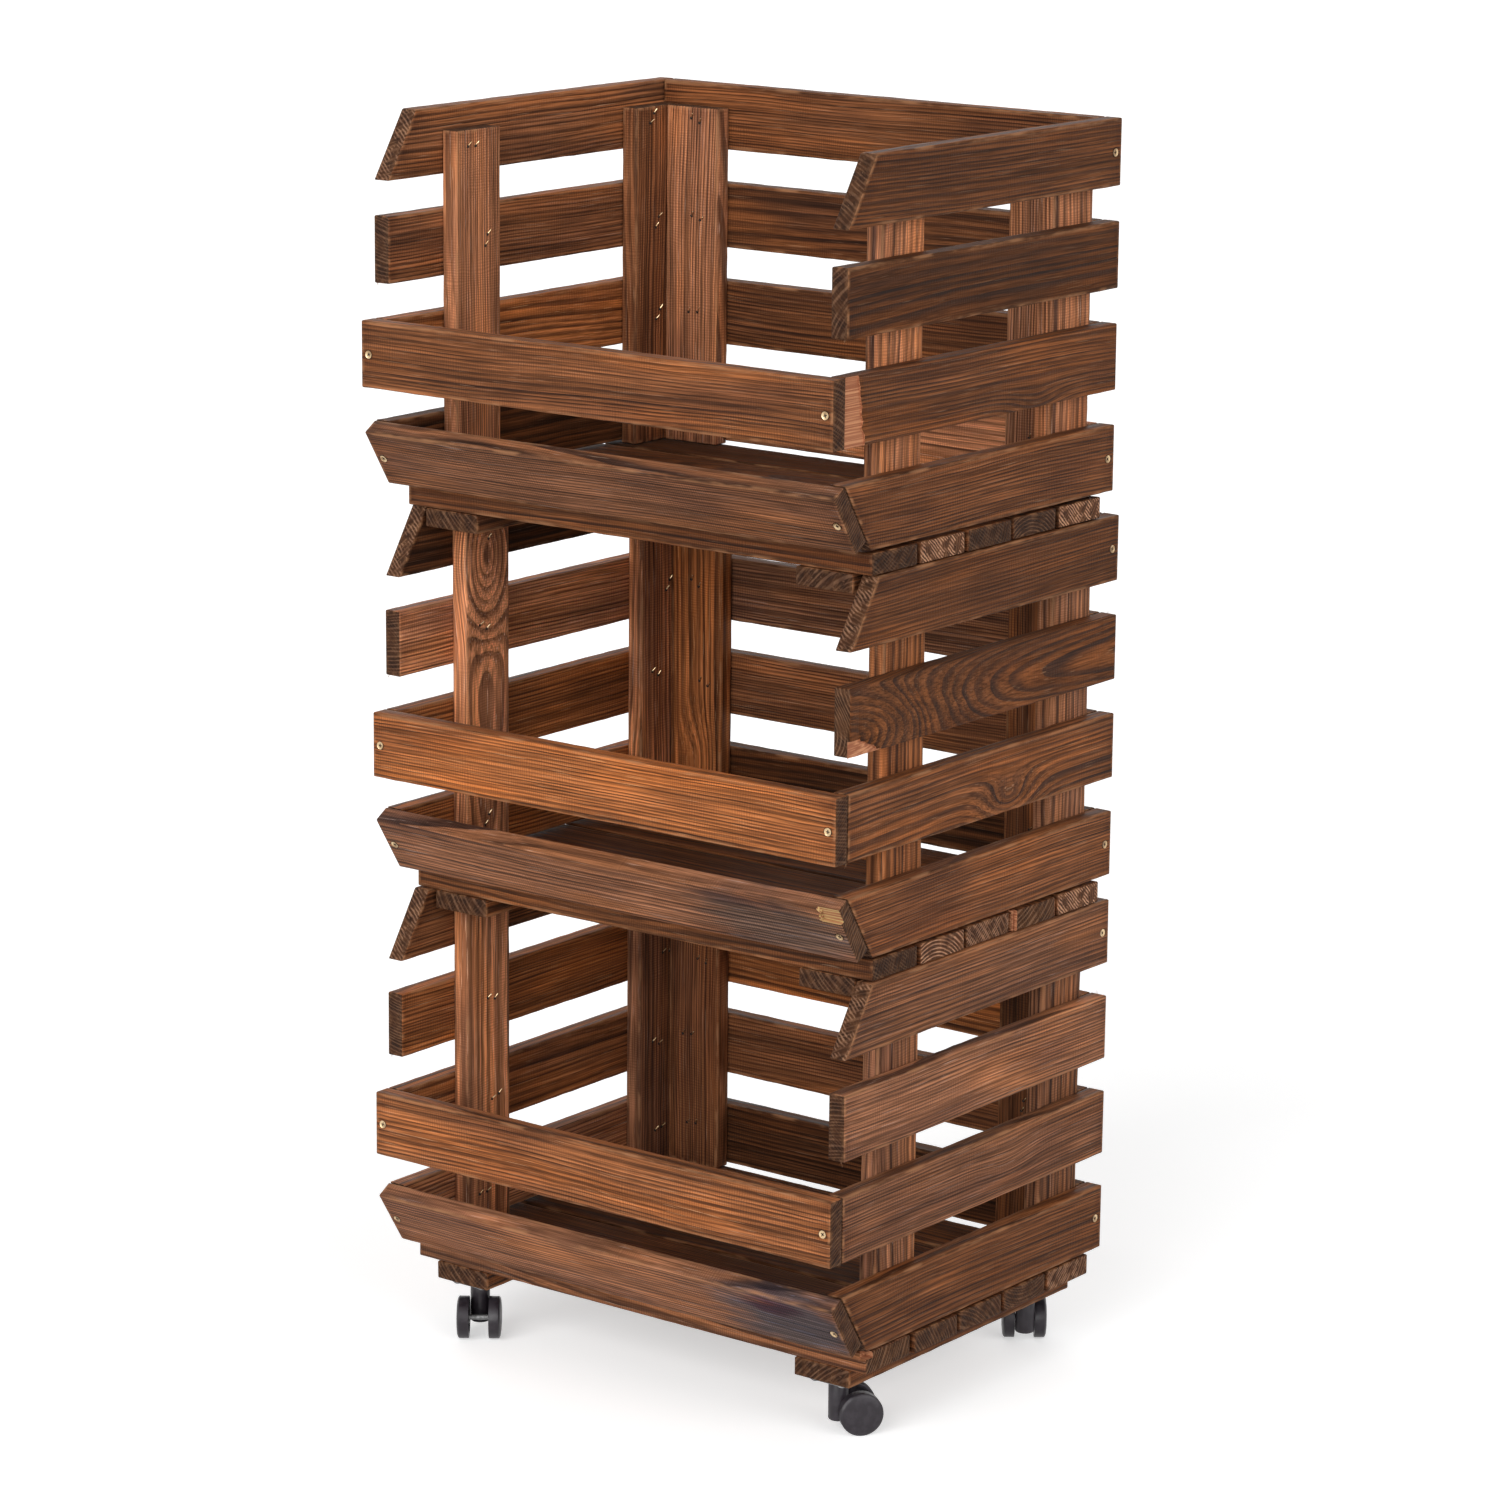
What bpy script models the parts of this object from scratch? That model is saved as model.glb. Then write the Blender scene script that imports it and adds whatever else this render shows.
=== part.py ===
"""Vegetable rack: three slatted wooden crates stacked on four twin-wheel castors.

Every crate is the same: two side panels and a back panel, each of slats stapled
to posts, two rails across the open front, a floor of boards, and two battens under
the floor that nest between the sides of the crate below. The battens of the
bottom crate carry the castors. The crates only stand on each other and lift off.
Sizes are in metres. +Z is up, -Y is the open front, and the origin lies on the
ground in the middle of the rack's outline.
"""

import math

import bmesh
import bpy
from mathutils import Matrix, Vector

# The stock that all slats, posts, rails and battens are cut from
BOARD_WIDTH = 0.0585
BOARD_THICKNESS = 0.017
BOARD_EASE = 0.0016

# One crate
CRATE_WIDTH = 0.500
SIDE_LENGTH = 0.3925
SLATS_PER_WALL = 4
SLAT_GAP = 0.0293
SLANT_SETBACK = 0.037
RAIL_SLAT = 1
FRONT_POST_SETBACK = 0.070

# The floor, whose boards are a little wider and thicker
FLOOR_BOARDS = 5
FLOOR_BOARD_WIDTH = 0.064
FLOOR_BOARD_THICKNESS = 0.019
FLOOR_BOARD_GAP = 0.004
FLOOR_SETBACK = 0.0397
FLOOR_END_INSET = 0.0015
SLAT_LIFT = 0.0025
BATTEN_END_INSET = 0.001

# The top crate stands a little further forward than the two below it
TOP_CRATE_SHIFT = 0.011

# Clearances and laps
SEAT_GAP = 0.0003
JOINT_LAP = 0.0003
NEST_SIDE_CLEARANCE = 0.004
NEST_END_CLEARANCE = 0.0015
NEST_TOP_CLEARANCE = 0.003
RUNNING_CLEARANCE = 0.00015
CUTTER_OVERRUN = 0.001
MERGE_DISTANCE = 0.000001

# Castor wheels, hollow on the side of the housing
WHEEL_DIAMETER = 0.038
WHEEL_TREAD_WIDTH = 0.0088
WHEEL_DOME_HEIGHT = 0.0025
WHEEL_EDGE_EASE = 0.0006
WHEEL_RIM_WALL = 0.0035
WHEEL_HUB_RADIUS = 0.006
WHEEL_RECESS_DEPTH = 0.0055
WHEEL_BORE_DEPTH = 0.0075
WHEEL_SIDE_CLEARANCE = 0.0004
AXLE_RADIUS = 0.0025
AXLE_END_CLEARANCE = 0.0004

# Castor housings: an upright neck, and a hub between the wheels that trails behind it
CASTOR_TRAIL = 0.0165
NECK_RADIUS = 0.00875
NECK_BOTTOM = 0.0105
NECK_BOTTOM_EASE = 0.0018
NECK_TOP_EASE = 0.0006
HUB_WIDTH = 0.017
HUB_RADIUS = 0.0132
HUB_CUT_HEIGHT = 0.0145
HUB_EASE = 0.0008
SHOULDER_HEIGHT = 0.0395

# Castor plates, each with its swivel pin
CASTOR_HEIGHT = 0.050
CASTOR_END_DISTANCE = 0.0255
PLATE_SIZE = 0.038
PLATE_THICKNESS = 0.002
PLATE_CORNER_RADIUS = 0.004
PLATE_HOLE_RADIUS = 0.0022
PLATE_HOLE_INSET = 0.0048
COLLAR_RADIUS = 0.0078
COLLAR_HEIGHT = 0.0017
PIN_RADIUS = 0.003
PIN_LENGTH = 0.020
PIN_END_CLEARANCE = 0.001

# The way each castor trails, in degrees from +X towards +Y
CASTOR_HEADINGS = {"front_left": -53, "front_right": 50, "rear_left": 205, "rear_right": 127}

ROUND_SEGMENTS = 24
SMALL_SEGMENTS = 16
ARC_STEPS = 6
CORNER_STEPS = 3
SMOOTH_ANGLE = 35

# Heights inside one crate, from the underside of its floor
SLAT_PITCH = BOARD_WIDTH + SLAT_GAP
SLAT_BASE = FLOOR_BOARD_THICKNESS + SLAT_LIFT
WALL_TOP = SLAT_BASE + SLATS_PER_WALL * BOARD_WIDTH + (SLATS_PER_WALL - 1) * SLAT_GAP
POST_BOTTOM = FLOOR_BOARD_THICKNESS + SEAT_GAP
POST_TOP = WALL_TOP - BOARD_THICKNESS - NEST_TOP_CLEARANCE
CRATE_PITCH = WALL_TOP + SEAT_GAP

# Places inside one crate: X from its middle, Y from the front ends of its side slats
SIDE_OUTER = CRATE_WIDTH / 2
SIDE_INNER = SIDE_OUTER - BOARD_THICKNESS
SIDE_POST_OUTER = SIDE_INNER + JOINT_LAP
SIDE_POST_INNER = SIDE_POST_OUTER - BOARD_THICKNESS
BACK_FRONT = SIDE_LENGTH - BOARD_THICKNESS
FLOOR_PITCH = FLOOR_BOARD_WIDTH + FLOOR_BOARD_GAP
BATTEN_OUTER = SIDE_INNER - NEST_SIDE_CLEARANCE
BATTEN_INNER = BATTEN_OUTER - BOARD_WIDTH
BATTEN_FRONT = FLOOR_SETBACK + BATTEN_END_INSET
BATTEN_REAR = BACK_FRONT - NEST_END_CLEARANCE

# Places in the whole rack
FLOOR_UNDERSIDE = CASTOR_HEIGHT + SEAT_GAP + BOARD_THICKNESS + SEAT_GAP
RACK_DEPTH = SIDE_LENGTH + SEAT_GAP + BOARD_THICKNESS + TOP_CRATE_SHIFT
LOWER_FRONT = RACK_DEPTH / 2 - SIDE_LENGTH

# Heights and lengths in one castor
WHEEL_RADIUS = WHEEL_DIAMETER / 2
WHEEL_INNER_FACE = HUB_WIDTH / 2 + WHEEL_SIDE_CLEARANCE
BORE_RADIUS = AXLE_RADIUS + RUNNING_CLEARANCE
AXLE_HALF_LENGTH = WHEEL_INNER_FACE + WHEEL_BORE_DEPTH - AXLE_END_CLEARANCE
PLATE_UNDERSIDE = CASTOR_HEIGHT - PLATE_THICKNESS
COLLAR_BOTTOM = PLATE_UNDERSIDE - COLLAR_HEIGHT
NECK_TOP = COLLAR_BOTTOM - SEAT_GAP
PIN_BOTTOM = COLLAR_BOTTOM - PIN_LENGTH


def clear_scene():
    for thing in list(bpy.data.objects):
        bpy.data.objects.remove(thing, do_unlink=True)


def make_material(name, color, roughness, metallic):
    material = bpy.data.materials.new(name)
    material.use_nodes = True
    shader = material.node_tree.nodes["Principled BSDF"]
    shader.inputs["Base Color"].default_value = (*color, 1.0)
    shader.inputs["Roughness"].default_value = roughness
    shader.inputs["Metallic"].default_value = metallic
    return material


def arc(center, radius, start, end, steps):
    """Points along an arc from one angle to another, in degrees."""
    points = []
    for step in range(steps + 1):
        angle = math.radians(start + (end - start) * step / steps)
        points.append((center[0] + radius * math.cos(angle), center[1] + radius * math.sin(angle)))
    return points


def extruded(outline, direction, ease):
    """A flat outline extruded along a direction, with its edges eased."""
    bm = bmesh.new()
    face = bm.faces.new([bm.verts.new(point) for point in outline])
    swept = bmesh.ops.extrude_face_region(bm, geom=[face])
    moved = [item for item in swept["geom"] if isinstance(item, bmesh.types.BMVert)]
    bmesh.ops.translate(bm, verts=moved, vec=direction)
    bmesh.ops.recalc_face_normals(bm, faces=bm.faces)
    if ease:
        bmesh.ops.bevel(bm, geom=bm.edges[:], offset=ease, segments=1, affect="EDGES")
    return bm


def turned(profile, segments):
    """A solid of revolution about Z from (radius, height) points, closed on the axis."""
    bm = bmesh.new()
    points = [bm.verts.new((radius, 0, height)) for radius, height in profile]
    edges = [bm.edges.new(pair) for pair in zip(points, points[1:])]
    axis = Vector((0, 0, 1))
    bmesh.ops.spin(bm, geom=points + edges, axis=axis, angle=math.tau, steps=segments)
    bmesh.ops.remove_doubles(bm, verts=bm.verts, dist=MERGE_DISTANCE)
    bmesh.ops.recalc_face_normals(bm, faces=bm.faces)
    return bm


def rod(radius, low, high):
    return turned([(0, low), (radius, low), (radius, high), (0, high)], SMALL_SEGMENTS)


def lying_along_y(bm, center):
    """A solid turned about Z, laid along Y through a point."""
    move = Matrix.Translation(center) @ Matrix.Rotation(math.radians(-90), 4, "X")
    bmesh.ops.transform(bm, matrix=move, verts=bm.verts)
    return bm


def mesh_from(bm, name):
    mesh = bpy.data.meshes.new(name)
    bm.to_mesh(mesh)
    bm.free()
    return mesh


def combined(name, first, steps):
    """One mesh from a solid and a list of (UNION or DIFFERENCE, solid) steps."""
    helpers = []
    for number, bm in enumerate([first] + [solid for _, solid in steps]):
        helper = bpy.data.objects.new(f"{name}_{number}", mesh_from(bm, f"{name}_{number}"))
        helper.hide_render = True
        helper.display_type = "WIRE"
        bpy.context.scene.collection.objects.link(helper)
        helpers.append(helper)
    for (operation, _), helper in zip(steps, helpers[1:]):
        boolean = helpers[0].modifiers.new(helper.name, "BOOLEAN")
        boolean.operation = operation
        boolean.solver = "EXACT"
        boolean.object = helper
    graph = bpy.context.evaluated_depsgraph_get()
    mesh = bpy.data.meshes.new_from_object(helpers[0].evaluated_get(graph))
    mesh.name = name
    for helper in helpers:
        bpy.data.objects.remove(helper, do_unlink=True)
    return mesh


def board(low, high):
    """A straight board between two corners."""
    outline = [
        (low[0], low[1], low[2]),
        (high[0], low[1], low[2]),
        (high[0], high[1], low[2]),
        (low[0], high[1], low[2]),
    ]
    return extruded(outline, Vector((0, 0, high[2] - low[2])), BOARD_EASE)


def side_slat(x_low, index):
    """A side slat. The front end of the top one leans back, of the bottom one forward."""
    low = SLAT_BASE + index * SLAT_PITCH
    high = low + BOARD_WIDTH
    front_low = SLANT_SETBACK if index == 0 else 0
    front_high = SLANT_SETBACK if index == SLATS_PER_WALL - 1 else 0
    outline = [
        (x_low, front_low, low),
        (x_low, SIDE_LENGTH, low),
        (x_low, SIDE_LENGTH, high),
        (x_low, front_high, high),
    ]
    return extruded(outline, Vector((BOARD_THICKNESS, 0, 0)), BOARD_EASE)


def side_panel(side):
    """Four slats joined by a front and a rear post inside them. Side is -1 left, 1 right."""
    slat_x = min(side * SIDE_OUTER, side * SIDE_INNER)
    post_x = sorted((side * SIDE_POST_INNER, side * SIDE_POST_OUTER))
    posts = []
    for front in (FRONT_POST_SETBACK, BACK_FRONT - SEAT_GAP - BOARD_WIDTH):
        low = (post_x[0], front, POST_BOTTOM)
        high = (post_x[1], front + BOARD_WIDTH, POST_TOP)
        posts.append(board(low, high))
    slats = [side_slat(slat_x, index) for index in range(SLATS_PER_WALL)]
    name = "right_side_panel" if side > 0 else "left_side_panel"
    return combined(name, posts[0], [("UNION", piece) for piece in slats + posts[1:]])


def back_panel():
    """Four slats between the sides, joined by a post at each end in front of them."""
    reach = SIDE_INNER - SEAT_GAP
    posts = []
    for side in (-1, 1):
        outer = side * (SIDE_POST_INNER - SEAT_GAP)
        post_x = sorted((outer, outer - side * BOARD_WIDTH))
        low = (post_x[0], BACK_FRONT + JOINT_LAP - BOARD_THICKNESS, POST_BOTTOM)
        high = (post_x[1], BACK_FRONT + JOINT_LAP, POST_TOP)
        posts.append(board(low, high))
    slats = []
    for index in range(SLATS_PER_WALL):
        base = SLAT_BASE + index * SLAT_PITCH
        slats.append(board((-reach, BACK_FRONT, base), (reach, SIDE_LENGTH, base + BOARD_WIDTH)))
    return combined("back_panel", posts[0], [("UNION", piece) for piece in slats + posts[1:]])


def upper_rail():
    """Upright board across the front ends of the second slats from the bottom."""
    base = SLAT_BASE + RAIL_SLAT * SLAT_PITCH
    low = (-SIDE_OUTER, -SEAT_GAP - BOARD_THICKNESS, base)
    high = (SIDE_OUTER, -SEAT_GAP, base + BOARD_WIDTH)
    return mesh_from(board(low, high), "front_upper_rail")


def lower_rail():
    """Board on the slanted ends of the bottom slats, so that its top leans forward."""
    low = (-SIDE_OUTER, -SEAT_GAP - BOARD_THICKNESS, -BOARD_WIDTH)
    bm = board(low, (SIDE_OUTER, -SEAT_GAP, 0))
    lean = Matrix.Rotation(math.atan2(SLANT_SETBACK, BOARD_WIDTH), 4, "X")
    corner = Matrix.Translation((0, 0, SLAT_BASE + BOARD_WIDTH))
    bmesh.ops.transform(bm, matrix=corner @ lean, verts=bm.verts)
    return mesh_from(bm, "front_lower_rail")


def floor_board(index):
    front = FLOOR_SETBACK + index * FLOOR_PITCH
    reach = SIDE_OUTER - FLOOR_END_INSET
    high = (reach, front + FLOOR_BOARD_WIDTH, FLOOR_BOARD_THICKNESS)
    return mesh_from(board((-reach, front, 0), high), f"floor_board_{index + 1}")


def floor_batten(side):
    """A batten under the floor, from front to back."""
    batten_x = sorted((side * BATTEN_INNER, side * BATTEN_OUTER))
    low = (batten_x[0], BATTEN_FRONT, -SEAT_GAP - BOARD_THICKNESS)
    high = (batten_x[1], BATTEN_REAR, -SEAT_GAP)
    return mesh_from(board(low, high), "floor_batten_right" if side > 0 else "floor_batten_left")


def crate_meshes(wood):
    """The pieces of one crate. The three crates share them."""
    meshes = [side_panel(-1), side_panel(1), back_panel(), upper_rail(), lower_rail()]
    meshes += [floor_board(index) for index in range(FLOOR_BOARDS)]
    meshes += [floor_batten(-1), floor_batten(1)]
    for mesh in meshes:
        mesh.materials.append(wood)
    return meshes


def place(name, mesh, parent, location=(0, 0, 0), turn=0):
    """One named object, turned about Z in its parent."""
    thing = bpy.data.objects.new(name, mesh)
    bpy.context.scene.collection.objects.link(thing)
    thing.parent = parent
    thing.location = location
    thing.rotation_euler.z = turn
    return thing


def build_crates(wood):
    """The stack, each crate under an empty at its floor and the front of its sides."""
    meshes = crate_meshes(wood)
    for level, crate in enumerate(("bottom", "middle", "top")):
        shift = TOP_CRATE_SHIFT if crate == "top" else 0
        height = FLOOR_UNDERSIDE + level * CRATE_PITCH
        origin = place(f"{crate}_crate", None, None, (0, LOWER_FRONT - shift, height))
        for mesh in meshes:
            place(f"{crate}_{mesh.name}", mesh, origin)


def wheel():
    """A wheel about Y, its inner face at 0 and its domed face towards +Y.

    The flats of the tread lie at the wheel's radius, one of them at the bottom.
    """
    half_step = math.pi / ROUND_SEGMENTS
    rim = WHEEL_RADIUS / math.cos(half_step)
    dome_radius = (rim**2 + WHEEL_DOME_HEIGHT**2) / (2 * WHEEL_DOME_HEIGHT)
    face = WHEEL_TREAD_WIDTH + WHEEL_DOME_HEIGHT
    rim_angle = math.degrees(math.asin(rim / dome_radius))
    dome = arc((0, face - dome_radius), dome_radius, 90 - rim_angle, 90, CORNER_STEPS)
    profile = [
        (0, WHEEL_BORE_DEPTH),
        (BORE_RADIUS, WHEEL_BORE_DEPTH),
        (BORE_RADIUS, 0),
        (WHEEL_HUB_RADIUS, 0),
        (WHEEL_HUB_RADIUS, WHEEL_RECESS_DEPTH),
        (rim - WHEEL_RIM_WALL, WHEEL_RECESS_DEPTH),
        (rim - WHEEL_RIM_WALL, 0),
        (rim - WHEEL_EDGE_EASE, 0),
        (rim, WHEEL_EDGE_EASE),
    ]
    profile += dome[:-1]
    profile.append((0, face))
    bm = turned(profile, ROUND_SEGMENTS)
    bmesh.ops.transform(bm, matrix=Matrix.Rotation(half_step, 4, "Z"), verts=bm.verts)
    return mesh_from(lying_along_y(bm, (0, 0, 0)), "castor_wheel")


def axle():
    bm = rod(AXLE_RADIUS, -AXLE_HALF_LENGTH, AXLE_HALF_LENGTH)
    return mesh_from(lying_along_y(bm, (0, 0, 0)), "castor_axle")


def housing():
    """The neck and the hub behind it, bored for the swivel pin and the axle."""
    neck = [(0, NECK_BOTTOM)]
    low_center = (NECK_RADIUS - NECK_BOTTOM_EASE, NECK_BOTTOM + NECK_BOTTOM_EASE)
    neck += arc(low_center, NECK_BOTTOM_EASE, -90, 0, CORNER_STEPS)
    neck += [(NECK_RADIUS, NECK_TOP - NECK_TOP_EASE), (NECK_RADIUS - NECK_TOP_EASE, NECK_TOP)]
    neck.append((0, NECK_TOP))

    # The line down from the shoulder meets the hub's arc at a tangent.
    rise = SHOULDER_HEIGHT - WHEEL_RADIUS
    to_shoulder = math.degrees(math.atan2(rise, -CASTOR_TRAIL))
    tangent = to_shoulder - math.degrees(math.acos(HUB_RADIUS / math.hypot(rise, CASTOR_TRAIL)))
    cut = math.degrees(math.asin((HUB_CUT_HEIGHT - WHEEL_RADIUS) / HUB_RADIUS))
    side = arc((CASTOR_TRAIL, WHEEL_RADIUS), HUB_RADIUS, cut, tangent, ARC_STEPS)
    side += [(0, SHOULDER_HEIGHT), (0, HUB_CUT_HEIGHT)]
    outline = [(along, -HUB_WIDTH / 2, height) for along, height in side]

    hub = extruded(outline, Vector((0, HUB_WIDTH, 0)), HUB_EASE)
    pin_radius = PIN_RADIUS + RUNNING_CLEARANCE
    pin_bore = rod(pin_radius, PIN_BOTTOM - PIN_END_CLEARANCE, NECK_TOP + CUTTER_OVERRUN)
    reach = HUB_WIDTH / 2 + CUTTER_OVERRUN
    axle_bore = lying_along_y(rod(BORE_RADIUS, -reach, reach), (CASTOR_TRAIL, 0, WHEEL_RADIUS))
    steps = [("UNION", hub), ("DIFFERENCE", pin_bore), ("DIFFERENCE", axle_bore)]
    return combined("castor_housing", turned(neck, ROUND_SEGMENTS), steps)


def plate():
    """The plate under the batten, with its four screw holes, collar and swivel pin."""
    corner = PLATE_SIZE / 2 - PLATE_CORNER_RADIUS
    rim = []
    for quarter, (x, y) in enumerate(((1, 1), (-1, 1), (-1, -1), (1, -1))):
        center = (x * corner, y * corner)
        start = quarter * 90
        rim += arc(center, PLATE_CORNER_RADIUS, start, start + 90, CORNER_STEPS)
    outline = [(x, y, PLATE_UNDERSIDE) for x, y in rim]
    profile = [
        (0, PLATE_UNDERSIDE + JOINT_LAP),
        (COLLAR_RADIUS, PLATE_UNDERSIDE + JOINT_LAP),
        (COLLAR_RADIUS, COLLAR_BOTTOM),
        (PIN_RADIUS, COLLAR_BOTTOM),
        (PIN_RADIUS, PIN_BOTTOM),
        (0, PIN_BOTTOM),
    ]
    steps = [("UNION", turned(profile, SMALL_SEGMENTS))]
    hole = PLATE_SIZE / 2 - PLATE_HOLE_INSET
    for x in (-hole, hole):
        for y in (-hole, hole):
            low = PLATE_UNDERSIDE - CUTTER_OVERRUN
            cutter = rod(PLATE_HOLE_RADIUS, low, CASTOR_HEIGHT + CUTTER_OVERRUN)
            bmesh.ops.translate(cutter, verts=cutter.verts, vec=(x, y, 0))
            steps.append(("DIFFERENCE", cutter))
    flat = extruded(outline, Vector((0, 0, PLATE_THICKNESS)), 0)
    return combined("castor_plate", flat, steps)


def build_castors(plastic, steel):
    """Four castors, each turning about an empty on its swivel axis on the ground."""
    parts = {"plate": plate(), "housing": housing(), "axle": axle(), "wheel": wheel()}
    for name, mesh in parts.items():
        mesh.materials.append(steel if name in ("plate", "axle") else plastic)
        mesh.shade_smooth()
        mesh.set_sharp_from_angle(angle=math.radians(SMOOTH_ANGLE))
    middle = (BATTEN_INNER + BATTEN_OUTER) / 2
    front = LOWER_FRONT + BATTEN_FRONT + CASTOR_END_DISTANCE
    rear = LOWER_FRONT + BATTEN_REAR - CASTOR_END_DISTANCE
    for corner, heading in CASTOR_HEADINGS.items():
        x = middle if corner.endswith("right") else -middle
        y = front if corner.startswith("front") else rear
        castor = f"castor_{corner}"
        place(f"{castor}_plate", parts["plate"], None, (x, y, 0))
        swivel = place(f"{castor}_swivel", None, None, (x, y, 0), math.radians(heading))
        place(f"{castor}_housing", parts["housing"], swivel)
        place(f"{castor}_axle", parts["axle"], swivel, (CASTOR_TRAIL, 0, WHEEL_RADIUS))
        left = (CASTOR_TRAIL, WHEEL_INNER_FACE, WHEEL_RADIUS)
        right = (CASTOR_TRAIL, -WHEEL_INNER_FACE, WHEEL_RADIUS)
        place(f"{castor}_wheel_left", parts["wheel"], swivel, left)
        place(f"{castor}_wheel_right", parts["wheel"], swivel, right, math.pi)


def main():
    clear_scene()
    build_crates(make_material("stained_wood", (0.11, 0.048, 0.028), 0.6, 0.0))
    plastic = make_material("black_plastic", (0.018, 0.017, 0.019), 0.4, 0.0)
    build_castors(plastic, make_material("zinc_plated_steel", (0.55, 0.55, 0.53), 0.35, 1.0))


main()
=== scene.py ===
import math
import random

import bmesh
import bpy
import numpy as np
from mathutils import Matrix, Vector


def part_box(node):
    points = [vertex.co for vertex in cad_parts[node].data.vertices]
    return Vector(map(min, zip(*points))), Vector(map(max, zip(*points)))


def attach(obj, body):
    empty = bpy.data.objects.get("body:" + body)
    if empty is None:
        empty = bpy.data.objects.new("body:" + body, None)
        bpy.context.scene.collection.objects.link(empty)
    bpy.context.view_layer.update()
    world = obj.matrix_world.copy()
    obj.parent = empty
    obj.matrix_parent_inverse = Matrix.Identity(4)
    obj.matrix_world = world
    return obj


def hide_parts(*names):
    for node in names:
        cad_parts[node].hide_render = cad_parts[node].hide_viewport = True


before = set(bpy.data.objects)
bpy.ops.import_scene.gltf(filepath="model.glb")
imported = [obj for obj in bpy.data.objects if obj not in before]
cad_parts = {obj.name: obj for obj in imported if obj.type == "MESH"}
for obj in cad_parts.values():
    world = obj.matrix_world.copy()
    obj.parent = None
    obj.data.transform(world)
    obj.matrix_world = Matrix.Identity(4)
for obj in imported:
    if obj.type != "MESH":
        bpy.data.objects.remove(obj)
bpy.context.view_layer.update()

X, Y, Z = Vector((1, 0, 0)), Vector((0, 1, 0)), Vector((0, 0, 1))
chance = random.Random(27)


# The stock. Slats, posts, rails and battens are cut from one size of sawn pine and the floor
# from a slightly wider one. The edges are eased, and the faces are brushed, so that the hard
# rings stand a little proud. Every board is modelled along X with its width along Y.
BOARD_WIDTH = 0.0585
BOARD_THICKNESS = 0.017
EDGE_EASE = 0.0016
CUT_SPACING = 0.012
NEAR = 0.0001
WEAR_REACH = 0.0026
END_REACH = 0.018
SCREW_HOLE_RADIUS = 0.0042
SCREW_HOLE_DEPTH = 0.0024
SCREW_HOLE_BOTTOM_SHARE = 0.55
TEAR_ROWS = 11
TEAR_RAGGED = 0.0022


def choose(piece, kind, test):
    """In edit mode, selects the faces, edges or verts of a piece that pass a test."""
    bpy.ops.mesh.select_mode(type=kind[:-1].upper())
    bpy.ops.mesh.select_all(action="DESELECT")
    shape = bmesh.from_edit_mesh(piece.data)
    for item in getattr(shape, kind):
        if test(item):
            item.select_set(True)
    shape.select_flush_mode()
    bmesh.update_edit_mesh(piece.data)


def started(name):
    """Applies the size of the primitive just added, names it, and opens it in edit mode."""
    piece = bpy.context.object
    piece.name = name
    bpy.ops.object.transform_apply()
    bpy.ops.object.mode_set(mode="EDIT")
    return piece


def pick(piece):
    """Selects one piece and nothing else."""
    bpy.ops.object.select_all(action="DESELECT")
    piece.select_set(True)
    bpy.context.view_layer.objects.active = piece


def ease_edges(offset, segments, sharpness=50):
    """In edit mode, rounds all edges that are sharper than an angle in degrees."""
    bpy.ops.mesh.select_mode(type="EDGE")
    bpy.ops.mesh.select_all(action="DESELECT")
    bpy.ops.mesh.edges_select_sharp(sharpness=math.radians(sharpness))
    bpy.ops.mesh.bevel(offset=offset, segments=segments, affect="EDGES")


def combine(piece, tool, operation="DIFFERENCE"):
    """Joins a tool to a piece, or cuts it away, and takes the tool off the table."""
    step = piece.modifiers.new("step", "BOOLEAN")
    step.object = tool
    step.operation = operation
    step.solver = "EXACT"
    pick(piece)
    bpy.ops.object.modifier_apply(modifier=step.name)
    bpy.data.objects.remove(tool, do_unlink=True)


def coordinates(mesh):
    """The places of a mesh's points, a row for each."""
    flat = np.empty(len(mesh.vertices) * 3, np.float32)
    mesh.vertices.foreach_get("co", flat)
    return flat.reshape(-1, 3)


def keep(mesh, name, values, domain="POINT"):
    """Keeps a number or a vector for each point or face, for the materials to read."""
    values = np.asarray(values, np.float32)
    kind, key = ("FLOAT_VECTOR", "vector") if values.ndim == 2 else ("FLOAT", "value")
    mesh.attributes.new(name, kind, domain).data.foreach_set(key, values.ravel())


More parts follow.
